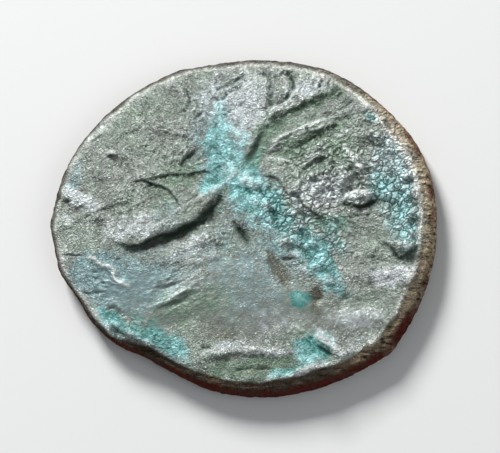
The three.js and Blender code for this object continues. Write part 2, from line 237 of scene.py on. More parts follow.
def crust(middle, radii, turn, count, lump, height):
    """Lumps of corrosion strewn over an oval in a sunflower pattern."""
    c, s = math.cos(math.radians(turn)), math.sin(math.radians(turn))
    golden_turn = 2.39996
    lumps = []
    for i in range(count):
        reach = math.sqrt((i + 0.5) / count)
        u = reach * radii[0] * math.cos(i * golden_turn)
        v = reach * radii[1] * math.sin(i * golden_turn)
        place = (middle[0] + u * c - v * s, middle[1] + u * s + v * c)
        lumps.append(swelling(place, (lump, lump), 0, height * (0.65 + 0.35 * math.sin(5.3 * i))))
    return lumps


# ---------------------------------------------------------------------------------------------
# Obverse
# ---------------------------------------------------------------------------------------------

# The face was struck a little off the flan's middle, and drawn out a little along one line.
STRIKE_SHIFT = (0.15, -0.18)
DRAWN_OUT = 1.027
DRAWN_ALONG = math.radians(-50)

# The long blade breaks off in a curved cliff at its lower right side, and has a thin crest.
BLADE_POINTS = [
    (-7.1, -0.75), (-6.3, -0.96), (-5.5, -0.93), (-4.75, -0.5), (-3.7, -0.25), (-2.8, 0.2),
    (-2.0, 0.7), (-1.4, 1.3), (-1.0, 2.0), (-0.3, 2.85),
]  # fmt: skip
BLADE_EDGE = through(*BLADE_POINTS, pieces=40)
BLADE_FOOT = through(*BLADE_POINTS[:8], pieces=36)
BLADE_CREST = through(
    (-5.4, -0.5), (-4.15, 0.55), (-3.2, 1.28), (-2.35, 1.72), (-1.4, 2.27), (-0.4, 3.05), (0.0, 3.7)
)
# The raised plate ends above the folds in a long bend.
PLATE_EDGE = through(
    (-0.5, 2.8), (0.2, 3.8), (0.65, 4.5), (0.9, 5.1), (1.15, 5.6), (1.6, 6.05), (2.3, 6.4),
    (3.2, 6.75), (4.1, 7.15), (4.9, 7.5), (5.5, 8.1), pieces=44,
)  # fmt: skip
# Two spikes left of the blade overlap.
LOW_SPIKE = through((-6.3, 2.6), (-5.4, 2.7), (-4.9, 2.5), (-4.1, 2.22), (-3.85, 1.95), (-3.3, 1.1))
HIGH_SPIKE = through((-5.3, 2.8), (-4.1, 3.03), (-3.0, 3.03), (-1.4, 3.25))
# Two folds right of the blade, and the shelf that overhangs the corroded middle.
UPPER_FOLD = through((1.4, 4.1), (2.03, 4.94), (2.9, 5.33), (3.9, 5.72), (4.9, 6.2))
LOWER_FOLD = through((2.15, 4.15), (2.8, 4.45), (3.6, 4.88), (4.4, 5.3), (5.0, 5.65), (5.8, 6.2))
SHELF = through((5.2, 1.5), (5.85, 1.27), (6.4, 1.15), (6.9, 1.3), (7.7, 1.75))
# The mass right of the blade ends in a ragged step above the corroded middle.
MASS_EDGE = through(
    (0.5, 3.0), (1.1, 2.92), (1.66, 2.85), (2.05, 2.6), (2.3, 2.2), (2.5, 1.85), (3.0, 1.85),
    (3.3, 1.3), (3.9, 0.85), (4.5, 0.45), pieces=40,
)  # fmt: skip
SQUIGGLE = through(
    (-8.7, -1.35), (-8.3, -1.5), (-7.95, -1.8), (-7.45, -1.97), (-7.15, -2.2), (-7.15, -2.55),
    (-6.85, -2.85), (-6.1, -3.15), pieces=36,
)  # fmt: skip
RIGHT_CREASE = through(
    (7.3, -0.8), (7.95, -0.95), (8.25, -1.3), (8.55, -1.65), (9.05, -1.4), (9.7, -0.9)
)
LEFT_GROOVE = through((-10.3, 0.05), (-9.5, 0.3), (-8.6, 0.85), (-7.1, 1.38), (-6.0, 1.4))


def broad_swellings():
    return [
        swelling((-4.6, 4.2), (5.6, 4.0), 48, 0.13),
        swelling((-6.0, 0.1), (1.9, 0.8), 18, 0.14),
        swelling((-0.4, -3.9), (4.2, 2.5), -6, 0.2),
        swelling((5.0, 3.3), (3.2, 2.3), 20, 0.14),
        swelling((8.7, 0.7), (2.4, 1.1), 95, 0.13),
        swelling((8.1, -2.5), (1.5, 0.5), 4, 0.12),
        swelling((6.2, -4.9), (1.6, 0.6), 6, 0.1),
        swelling((1.7, 0.9), (2.6, 0.9), -45, 0.08),
        swelling((-2.9, -0.9), (2.1, 0.6), 22, 0.08),
    ]


def blade_and_plate():
    """The blade with its crest, and the long bend of the plate."""
    return [
        lip(BLADE_EDGE, 0.29, 0.25, 0.65, 1.5, 0.3),
        cliff(BLADE_FOOT, 0.0, 0.14, 0.5, 0.7, 0.2, 0.08),
        fold(BLADE_CREST, 0.09, 0.16, 0.4, 0.2),
        cliff(PLATE_EDGE, 0.05, 0.15, 1.2, 0.5, 0.2, 0.24),
    ]


def spikes_and_terrace():
    """Overlapping spikes, and the terrace above them."""
    return [
        cliff(LOW_SPIKE, 0.05, 0.05, 0.9, 0.5, 0.12, 0.06),
        cliff(HIGH_SPIKE, 0.05, 0.05, 0.7, 0.4, 0.15, 0.06),
        swelling((-2.5, 4.05), (0.85, 0.36), 40, -0.08),
        cliff(arc((-3.6, 3.5), (-2.4, 4.7)), 0.05, 0.07, 0.5, 0.4, 0.2, 0.07),
        cliff(
            through((-8.4, 4.9), (-5.7, 5.6), (-4.5, 5.4), (-3.2, 5.05), (-2.4, 4.85)),
            0.08, 0.03, 1.2, 1.4, 0.25, 0.2,
        ),
    ]


def rim_strokes():
    """Worn strokes along the upper rim."""
    return [
        groove(through((-3.2, 8.0), (-2.85, 7.2), (-2.95, 6.7), (-3.7, 6.1)), 0.13, 0.08),
        groove(arc((-1.6, 7.6), (0.3, 8.65), -0.08), 0.13, 0.09, 0.15),
        groove(through((0.25, 8.5), (0.2, 8.0), (-0.6, 7.6), (-1.2, 7.2), (-1.9, 7.3)), 0.12, 0.12, 0.15),
        groove(through((1.0, 8.85), (1.5, 8.1), (1.62, 7.4), (1.55, 6.5)), 0.19, 0.14, 0.12),
        fold(through((1.05, 8.4), (1.38, 7.6), (1.25, 6.6)), 0.1, 0.12, 0.3, 0.15),
        groove(through((2.4, 8.8), (2.82, 8.0), (2.55, 7.3), (1.9, 6.65)), 0.18, 0.13, 0.12),
        ridge(arc((1.7, 6.45), (3.4, 7.6), 0.05), 0.16, 0.13),
        groove(arc((4.2, 7.7), (4.62, 8.4)), 0.1, 0.12),
        groove(arc((4.6, 7.9), (5.0, 8.4)), 0.1, 0.12),
    ]


def right_folds():
    """Folds, steps and creases right of the blade."""
    return [
        ridge(arc((2.4, 5.85), (5.4, 6.9), 0.05), 0.34, 0.09),
        fold(UPPER_FOLD, 0.13, 0.17, 0.42, 0.2),
        cliff(LOWER_FOLD, 0.03, 0.09, 0.4, 0.6, 0.25, 0.16),
        swelling((1.95, 5.6), (0.5, 0.42), 40, -0.13),
        swelling((1.95, 5.62), (0.17, 0.13), 40, 0.08),
        ridge(through((6.0, 7.4), (7.6, 6.35), (8.7, 4.9), (9.45, 3.2), (9.85, 1.5)), 0.14, 0.12),
        cliff(MASS_EDGE, 0.05, 0.08, 0.9, 0.6, 0.15, 0.08),
        cliff(through((3.1, 2.9), (3.5, 3.4), (4.1, 3.75), (5.0, 3.95)), 0.06, 0.05, 0.45, 0.45, 0.25, 0.1),
        fold(through((5.5, 4.6), (5.85, 4.1), (6.1, 3.65), (6.6, 3.0)), 0.1, 0.25, 0.1, 0.15),
        swelling((7.3, 5.2), (0.9, 0.4), 8, 0.14),
        swelling((6.95, 4.6), (0.75, 0.3), 8, -0.05),
        groove(through((5.6, 3.65), (6.05, 3.15), (6.35, 2.7), (6.5, 2.25)), 0.14, 0.07),
        swelling((6.3, 1.75), (1.0, 0.22), 12, 0.14),
        cliff(SHELF, 0.0, 0.1, 0.4, 0.4, 0.2, 0.07),
        groove(arc((5.6, 2.05), (7.0, 2.2), 0.03), 0.12, 0.1),
        cliff(RIGHT_CREASE, 0.07, 0.03, 0.9, 0.3, 0.12, 0.08),
        swelling((4.4, 0.4), (0.4, 0.2), -40, -0.12),
    ]


def left_and_lower_folds():
    """Folds and cracks at the left and below."""
    return [
        ridge(arc((-4.3, -1.15), (-1.8, -0.25)), 0.3, 0.06),
        ridge(arc((-3.4, -1.9), (-1.1, -1.25)), 0.28, 0.07),
        cliff(through((-5.0, -3.15), (-4.3, -3.05), (-3.3, -2.8)), 0.04, 0.05, 0.5, 0.4, 0.3, 0.1),
        fold(through((-5.0, -4.35), (-4.4, -4.1), (-3.6, -3.65), (-2.6, -3.05)), 0.07, 0.2, 0.2, 0.2),
        groove(arc((-4.9, -4.35), (-2.9, -3.75), -0.05), 0.14, 0.06),
        cliff(LEFT_GROOVE, 0.05, 0.0, 0.6, 0.4, 0.3, 0.09),
        fold(SQUIGGLE, 0.13, 0.16, 0.2, 0.12),
        swelling((-8.9, 1.65), (1.2, 0.42), -30, 0.17),
        cliff(arc((-7.6, -4.05), (-6.6, -4.6), 0.12), 0.04, 0.07, 0.8, 0.5, 0.3, 0.12),
        cliff(
            through((-3.0, -7.3), (-1.3, -6.95), (0.2, -6.85), (2.9, -7.0)), 0.09, 0.08, 0.5, 0.9, 0.2, 0.22
        ),
        swelling((3.7, -7.7), (1.1, 0.28), 12, 0.16),
        fold(through((3.8, -5.8), (4.5, -6.3), (5.2, -6.85), (5.8, -7.2)), 0.16, 0.3, 0.2, 0.2),
        groove(arc((4.0, -6.45), (4.8, -7.0)), 0.12, 0.08),
        fold(through((3.4, -1.3), (4.1, -2.15), (4.9, -2.9), (5.6, -3.8)), 0.1, 0.3, 0.3, 0.2),
        groove(arc((1.7, -1.3), (2.6, -3.3)), 0.35, 0.08),
        swelling((3.1, -3.95), (0.55, 0.5), 0, 0.04),
    ]


def pits_and_nodule():
    return [
        swelling((0.0, -0.2), (0.75, 0.36), 122, -0.15),
        swelling((4.0, -3.7), (0.4, 0.46), 90, -0.15),
        swelling((5.55, -3.8), (0.25, 0.18), 40, -0.08),
        swelling((7.1, -2.4), (0.3, 0.2), 0, -0.08),
        swelling((8.1, -5.5), (0.25, 0.2), 20, -0.12),
        swelling((-7.2, 4.25), (0.26, 0.2), 0, 0.16),
        swelling((-7.17, 4.0), (0.3, 0.13), 0, -0.04),
    ]


def crusts():
    return [
        *crust((5.2, 2.4), (2.7, 1.5), 8, 26, 0.3, 0.13),
        *crust((8.5, 1.2), (2.7, 1.1), 95, 26, 0.3, 0.14),
        *crust((2.3, 0.3), (3.4, 1.1), -52, 30, 0.32, 0.14),
    ]


def obverse_forms():
    """The forms of the solid, with finer lumps in the crusts."""
    return [
        *broad_swellings(),
        *blade_and_plate(),
        *spikes_and_terrace(),
        *rim_strokes(),
        *right_folds(),
        *left_and_lower_folds(),
        *pits_and_nodule(),
        *crusts(),
    ]


def obverse_details():
    """Thin scratches, cracks and small marks, too fine for the solid."""
    return [
        # lozenge beside the plate, and hair-thin arcs above the spikes
        groove(arc((-2.6, 6.0), (-2.05, 6.45), 0.06), 0.07, 0.08),
        groove(arc((-2.1, 5.8), (-1.85, 6.3), -0.1), 0.07, 0.06),
        groove(arc((-5.2, 3.3), (-4.5, 4.7), 0.15), 0.06, 0.05),
        groove(arc((-4.7, 3.5), (-4.2, 5.1), 0.1), 0.06, 0.05),
        groove(arc((-4.3, 3.6), (-3.6, 5.0), 0.15), 0.06, 0.05),
        ridge(arc((-4.1, 3.4), (-3.2, 5.0), 0.2), 0.08, 0.05),
        fold(through((-3.2, 3.5), (-2.5, 3.6), (-1.9, 3.9)), 0.08, 0.2, 0.1, 0.2),
        groove(arc((-3.3, 1.2), (-2.2, 1.9), 0.05), 0.05, 0.06),
        # worn strokes on the upper rim
        groove(arc((-1.55, 7.95), (-0.95, 8.55), 0.05), 0.1, 0.06),
        groove(arc((-2.4, 7.55), (-1.6, 7.9), 0.03), 0.08, 0.05),
        groove(arc((3.7, 7.3), (4.15, 7.95)), 0.06, 0.06),
        groove(arc((3.25, 7.95), (3.5, 8.4)), 0.07, 0.05),
        groove(arc((-0.15, 6.85), (0.15, 6.85), -0.03), 0.08, 0.07),
        # crack from the middle pit
        groove(through((0.1, -0.4), (-0.35, 0.2), (-0.6, 0.6)), 0.12, 0.1, 0.2),
        # sharp crests among the folds
        ridge(arc((5.6, 4.42), (6.45, 3.2)), 0.05, 0.06, 0.1),
        ridge(through((1.95, 4.88), (2.9, 5.33), (3.9, 5.72)), 0.05, 0.07, 0.12),
        ridge(through((1.0, 3.82), (2.0, 3.85), (2.95, 3.55)), 0.06, 0.08),
        ridge(through((3.5, 3.45), (4.1, 3.85), (4.6, 4.05)), 0.07, 0.07),
        groove(through((4.6, 3.75), (5.1, 3.5), (4.8, 3.1), (4.4, 3.2)), 0.08, 0.1, 0.15),
        groove(arc((3.4, 2.6), (4.4, 2.5), -0.1), 0.09, 0.09),
        groove(arc((4.3, 2.9), (5.3, 2.7), 0.1), 0.08, 0.08),
        groove(arc((5.5, 5.4), (6.4, 6.4), 0.1), 0.07, 0.06),
        groove(arc((5.2, 6.4), (6.3, 7.0), 0.05), 0.07, 0.06),
        groove(arc((5.6, 0.6), (7.3, 0.9), -0.1), 0.08, 0.06),
        groove(arc((5.2, 1.0), (5.0, 2.0), 0.1), 0.07, 0.08),
        # pits, nicks and fine ridges at the left
        swelling((-8.25, -2.25), (0.14, 0.1), 0, -0.05),
        swelling((-8.15, -2.65), (0.13, 0.1), 0, -0.06),
        swelling((-7.8, -2.88), (0.13, 0.09), 0, -0.06),
        swelling((-8.1, -3.4), (0.3, 0.08), 8, -0.06),
        swelling((-8.7, -3.45), (0.25, 0.08), -15, -0.08),
        swelling((-6.9, -1.6), (0.2, 0.08), 20, -0.08),
        groove(arc((-10.3, -1.35), (-8.5, -1.35), 0.06), 0.06, 0.08),
        groove(arc((-9.8, 1.7), (-8.9, 1.35), 0.05), 0.08, 0.09),
        groove(arc((-4.9, -1.15), (-4.3, -1.4)), 0.06, 0.06),
        ridge(arc((-4.1, -3.75), (-3.0, -3.3)), 0.07, 0.07),
        ridge(arc((-4.4, -2.7), (-3.9, -2.1), -0.1), 0.07, 0.07),
        groove(arc((-2.45, -6.55), (-1.75, -6.5)), 0.1, 0.1),
        groove(arc((2.0, -1.72), (3.1, -1.7), 0.04), 0.08, 0.1),
        swelling((1.9, 0.5), (0.5, 0.25), -60, -0.08),
        swelling((4.4, -2.45), (0.3, 0.16), 10, -0.12),
        groove(arc((-0.8, -7.75), (1.8, -7.7), 0.03), 0.08, 0.05),
    ]


# ---------------------------------------------------------------------------------------------
# Reverse: worn down, so that its high parts lie in one plane
# ---------------------------------------------------------------------------------------------

OVALNESS = 1.1  # the border and legend are this much longer than wide
BORDER_RADIUS, BORDER_WIDTH, BORDER_HEIGHT = 7.4, 0.75, 0.48
BORDER_WORN_AT, BORDER_WORN_OVER = math.radians(-60), 0.5
LEGEND_RADIUS, LEGEND_STROKES = 6.1, 22
STROKE_LENGTH, STROKE_WIDTH, STROKE_HEIGHT = 0.9, 0.26, 0.12


def border_ring(xy):
    """The ring of the border, half worn away in one place."""
    away = np.hypot(xy[:, 0] / OVALNESS, xy[:, 1]) - BORDER_RADIUS
    turn = np.arctan2(xy[:, 1], xy[:, 0])
    left = 1 - 0.5 * bell((turn - BORDER_WORN_AT) / BORDER_WORN_OVER)
    return BORDER_HEIGHT * left * bell(away / BORDER_WIDTH)


def legend_strokes():
    """Short strokes of the lost legend, leaning this way and that."""
    half = LEGEND_STROKES // 2
    strokes = []
    for i in range(LEGEND_STROKES):
        angle = math.radians(28 + 12 * i if i < half else 208 + 10 * (i - half))
        lean = angle + 0.35 * math.sin(7 * i)
        x, y = LEGEND_RADIUS * OVALNESS * math.cos(angle), LEGEND_RADIUS * math.sin(angle)
        end = (x + STROKE_LENGTH * math.cos(lean), y + STROKE_LENGTH * math.sin(lean))
        strokes.append(ridge(arc((x, y), end), STROKE_WIDTH, STROKE_HEIGHT))
    return strokes


def reverse_forms():
    """The border, the legend, a worn upright form between two lesser ones, and a ground line."""
    return [
        border_ring,
        *legend_strokes(),
        swelling((0.2, 0.6), (4.4, 1.5), 88, 0.5),
        swelling((-2.3, 1.4), (1.9, 0.6), 35, 0.22),
        swelling((2.4, 0.5), (2.2, 0.6), 120, 0.22),
        ridge(arc((-3.6, -4.6), (3.8, -4.5), -0.1), 0.4, 0.25),
    ]


def heights(forms, xy):
    return sum(form(xy) for form in forms)


def struck(xy):
    """Where points of the flan lie on the die, which was neither centred nor square on it."""
    line = np.array([math.cos(DRAWN_ALONG), math.sin(DRAWN_ALONG)])
    off = xy - np.array(STRIKE_SHIFT)
    return off - (1 - 1 / DRAWN_OUT) * np.outer(off @ line, line)


COIN_SEED = 3  # another whole number above zero moves the fine marks a little


def wander(xy, step, scale, seed):
    """Points moved about a little by noise, so that what is carved there loses its evenness."""
    shift = np.array([noise.noise_vector((scale * x, scale * y, seed))[:2] for x, y in xy])
    return xy + step * (shift - shift.mean(0))


def wrinkles(xy, turn, length, width, seed):
    """Crests and creases of about unit height, long along the angle they are turned by."""
    c, s = math.cos(math.radians(turn)), math.sin(math.radians(turn))
    along, across = xy @ np.array([c, s]) / length, xy @ np.array([-s, c]) / width

    def rough(scale, further):
        places = zip(scale * along, scale * across)
        return np.array([noise.noise((u, v, seed + further)) for u, v in places])

    def lines(values):
        return np.clip(1 - np.abs(values) / 0.16, 0, 1) ** 1.5

    return lines(rough(1.0, 0)) - 0.8 * lines(rough(1.7, 20)) + 2.0 * rough(0.4, 40)


LEAST_WRINKLE = 0.003  # lower wrinkles than this are left out
# Where the face is wrinkled: middle, radii and turn of a soft oval, height of the wrinkles in
# millimetres, and their turn, length and width.
WRINKLED = [
    ((4.2, 5.4), (3.4, 1.8), 28, 0.075, 28, 1.5, 0.42),
    ((5.2, 3.0), (2.8, 1.6), 10, 0.1, 24, 0.8, 0.4),
    ((-4.4, 4.4), (3.0, 2.2), 40, 0.062, 55, 1.1, 0.4),
    ((-4.4, 6.9), (2.6, 1.0), 25, 0.062, 110, 0.9, 0.3),
    ((0.8, 7.4), (3.2, 1.6), 5, 0.044, 40, 0.8, 0.4),
    ((4.4, 7.9), (1.8, 0.6), -20, 0.075, 55, 1.0, 0.25),
    ((-7.6, 1.4), (2.8, 1.8), 10, 0.056, 20, 1.3, 0.42),
    ((-2.8, -0.6), (2.6, 1.2), 25, 0.056, 24, 1.6, 0.36),
    ((-3.6, -3.3), (1.9, 1.2), 25, 0.037, 28, 1.4, 0.3),
    ((-8.0, -2.6), (1.8, 1.6), -30, 0.031, -25, 0.9, 0.5),
    ((0.2, -7.2), (4.2, 1.0), 3, 0.025, 3, 1.6, 0.3),
    ((-5.6, -6.0), (2.6, 0.8), -32, 0.062, -35, 0.9, 0.35),
    ((4.2, -6.8), (2.2, 1.4), -30, 0.062, -35, 1.4, 0.4),
    ((7.6, -2.9), (2.4, 2.4), 0, 0.044, 5, 1.3, 0.34),
    ((5.8, 0.2), (1.8, 0.9), -20, 0.075, -20, 1.1, 0.4),
    ((7.6, 5.3), (1.6, 1.2), -50, 0.1, -30, 0.9, 0.4),
]


def wrinkled(xy):
    """How far all the wrinkles lift each point."""
    rise = np.zeros(len(xy))
    for i, (middle, radii, turn, height, lie, length, width) in enumerate(WRINKLED):
        share = swelling(middle, radii, turn, height)(xy)
        there = share > LEAST_WRINKLE
        rise[there] += share[there] * wrinkles(xy[there], lie, length, width, 3.3 * i)
    return rise


# ---------------------------------------------------------------------------------------------
# Where each kind of corrosion and colour lies on the obverse
# ---------------------------------------------------------------------------------------------

# Middle, radii and turn of soft ovals, with how strongly each shows.
VERDIGRIS = [
    ((1.4, 0.9), (3.4, 1.7), -50, 0.35),
    ((-0.9, 3.3), (1.5, 1.5), 0, 0.3),
    ((8.7, 1.4), (3.0, 1.2), 98, 0.3),
    ((0.3, 2.6), (1.0, 0.65), -40, 1.0),
    ((0.3, 1.6), (1.1, 0.8), -40, 0.7),
    ((1.4, 1.3), (1.2, 0.7), -50, 0.7),
    ((3.2, -0.8), (2.0, 0.7), -50, 0.35),
    ((4.2, -1.4), (1.2, 0.4), -60, 0.5),
    ((0.9, 3.9), (0.9, 0.35), 55, 0.3),
    ((4.6, -2.6), (1.6, 0.6), -50, 0.9),
    ((-1.3, 6.0), (1.3, 0.5), 82, 0.55),
    ((-1.4, 4.4), (1.1, 0.7), 85, 0.95),
    ((-1.4, 3.2), (1.0, 0.7), 60, 0.8),
    ((-1.75, 2.5), (0.7, 0.35), 60, 0.8),
    ((-0.5, 4.9), (1.1, 1.2), 20, 0.42),
    ((-7.5, -4.9), (0.9, 0.55), -42, 1.0),
    ((-6.6, -5.5), (0.9, 0.5), -30, 0.8),
    ((-4.6, -6.1), (1.8, 0.8), -36, 1.1),
    ((3.7, -6.6), (1.2, 0.95), -20, 1.1),
    ((2.2, -7.85), (1.1, 0.35), 12, 0.7),
    ((8.3, 3.2), (1.6, 1.2), 100, 0.1),
    ((8.8, 0.4), (1.7, 0.9), 98, 0.5),
    ((7.6, 1.8), (0.8, 0.4), 60, 0.5),
    ((7.3, 2.4), (0.7, 0.5), 0, 0.3),
    ((4.8, -0.9), (1.2, 0.6), -20, 0.5),
    ((4.9, 0.2), (1.0, 0.6), 0, 0.35),
    ((3.05, -3.95), (0.5, 0.48), 0, 1.5),
    ((7.1, 6.1), (0.4, 0.25), -40, 0.8),
    ((-9.4, 2.7), (1.0, 0.35), 70, 0.3),
]
CRUST = [
    ((4.9, 1.7), (2.3, 1.3), 8, 1.0),
    ((5.6, 3.0), (2.8, 1.9), 15, 0.6),
    ((8.7, 1.8), (3.4, 1.4), 98, 1.2),
    ((1.9, 1.2), (1.9, 1.1), -45, 0.85),
    ((3.7, -0.9), (2.8, 1.3), -50, 0.65),
    ((7.4, 5.4), (1.8, 1.2), -45, 0.8),
    ((3.2, 4.8), (2.4, 0.8), 28, 0.35),
    ((-5.8, -5.6), (2.6, 0.7), -35, 0.3),
    ((4.4, 3.7), (2.4, 1.0), 15, 0.6),
    ((5.2, -0.7), (1.6, 0.8), -30, 0.5),
    ((-9.2, 1.4), (0.9, 1.6), 0, 0.4),
    ((-1.4, 5.2), (1.0, 2.0), 0, 0.3),
]
SMOOTH = [
    ((-0.2, -4.1), (4.2, 2.6), -5, 1.1),
    ((4.8, -5.0), (2.6, 1.4), 0, 0.8),
    ((7.2, -4.0), (1.8, 1.6), 0, 0.5),
    ((-6.6, -3.1), (2.9, 1.7), -5, 1.0),
    ((0.2, -1.9), (2.0, 0.9), 0, 0.7),
    ((-5.0, -4.7), (2.2, 0.8), -20, 0.8),
    ((0.7, 4.1), (0.9, 0.45), 58, 1.0),
    ((-2.6, 1.0), (2.6, 0.45), 45, 0.35),
    ((6.4, -0.4), (1.6, 0.9), 0, 0.4),
    ((3.05, -3.95), (0.8, 0.8), 0, 1.0),
    ((4.1, -6.8), (0.9, 0.5), -30, 0.35),
    ((0.6, -7.6), (3.0, 0.6), 3, 0.6),
    ((-5.5, -5.8), (2.6, 0.6), -33, 0.25),
    ((2.4, 0.0), (1.4, 0.6), -50, 0.4),
]
OLIVE = [
    ((3.6, 5.3), (3.4, 1.1), 27, 0.45),
    ((3.4, 6.7), (2.2, 0.26), 24, 1.4),
    ((3.7, 4.85), (2.0, 0.3), 28, 1.2),
    ((1.25, 5.3), (1.2, 0.5), 62, 1.2),
    ((1.45, 7.6), (1.2, 0.25), 98, 0.8),
    ((2.65, 7.7), (1.1, 0.25), 80, 0.7),
    ((-0.6, 7.9), (1.2, 0.4), 28, 0.7),
    ((5.45, 7.9), (0.6, 0.35), 55, 1.3),
    ((5.0, 3.9), (2.2, 1.1), 15, 0.7),
    ((-3.0, 2.9), (1.5, 0.9), 20, 0.7),
    ((-4.4, 1.9), (1.0, 0.7), -20, 0.4),
    ((1.0, -7.7), (3.0, 0.7), 3, 1.0),
    ((-2.9, -4.1), (2.4, 0.9), 12, 0.8),
    ((0.8, 4.1), (1.1, 0.42), 58, 1.6),
    ((0.9, 3.9), (0.8, 0.3), 55, 0.8),
    ((-0.2, -7.7), (2.4, 0.6), 3, 0.8),
    ((1.9, 5.7), (0.6, 0.4), 30, 0.6),
    ((9.1, -3.5), (2.4, 0.5), 66, 0.9),
    ((7.4, -6.0), (1.6, 0.5), 35, 0.8),
    ((9.3, -1.3), (1.0, 0.4), 10, 0.8),
    ((4.7, -1.9), (0.7, 0.5), -50, 0.4),
    ((4.8, 0.3), (1.4, 0.6), 0, 1.1),
]
BROWN = [
    ((1.9, -2.2), (1.4, 0.4), -62, 1.1),
    ((4.0, -3.7), (0.4, 0.6), 0, 1.3),
    ((4.0, -4.9), (0.8, 0.5), -60, 0.5),
    ((-1.3, -5.6), (1.3, 0.8), -30, 0.55),
    ((-1.8, -3.6), (1.0, 0.5), 0, 0.3),
    ((0.1, -0.3), (0.5, 0.6), 120, 0.6),
    ((-9.9, 1.7), (0.4, 0.25), 60, 0.9),
    ((-1.7, 1.6), (1.0, 0.3), 48, 0.8),
    ((3.1, -6.4), (0.3, 0.9), 0, 0.5),
    ((0.6, -7.8), (2.6, 0.5), 3, 0.35),
]
BLUE = [
    ((-6.3, -2.9), (3.3, 1.9), -10, 0.85),
    ((-8.2, -2.4), (1.5, 1.0), 0, 0.9),
    ((-2.6, -0.8), (2.6, 1.1), 20, 0.3),
    ((-0.2, -1.7), (2.8, 1.2), 0, 0.35),
    ((1.0, 1.0), (2.8, 1.9), -45, 0.5),
    ((-1.2, 5.5), (1.9, 3.0), 0, 0.7),
    ((-4.2, 0.8), (1.2, 0.8), 40, 0.5),
    ((8.4, 3.2), (2.0, 1.5), 100, 1.0),
    ((3.6, -1.0), (2.6, 1.6), -50, 0.4),
    ((-9.3, 2.9), (1.2, 0.4), 72, 0.7),
    ((0.6, -3.6), (3.0, 1.8), 0, 0.5),
]
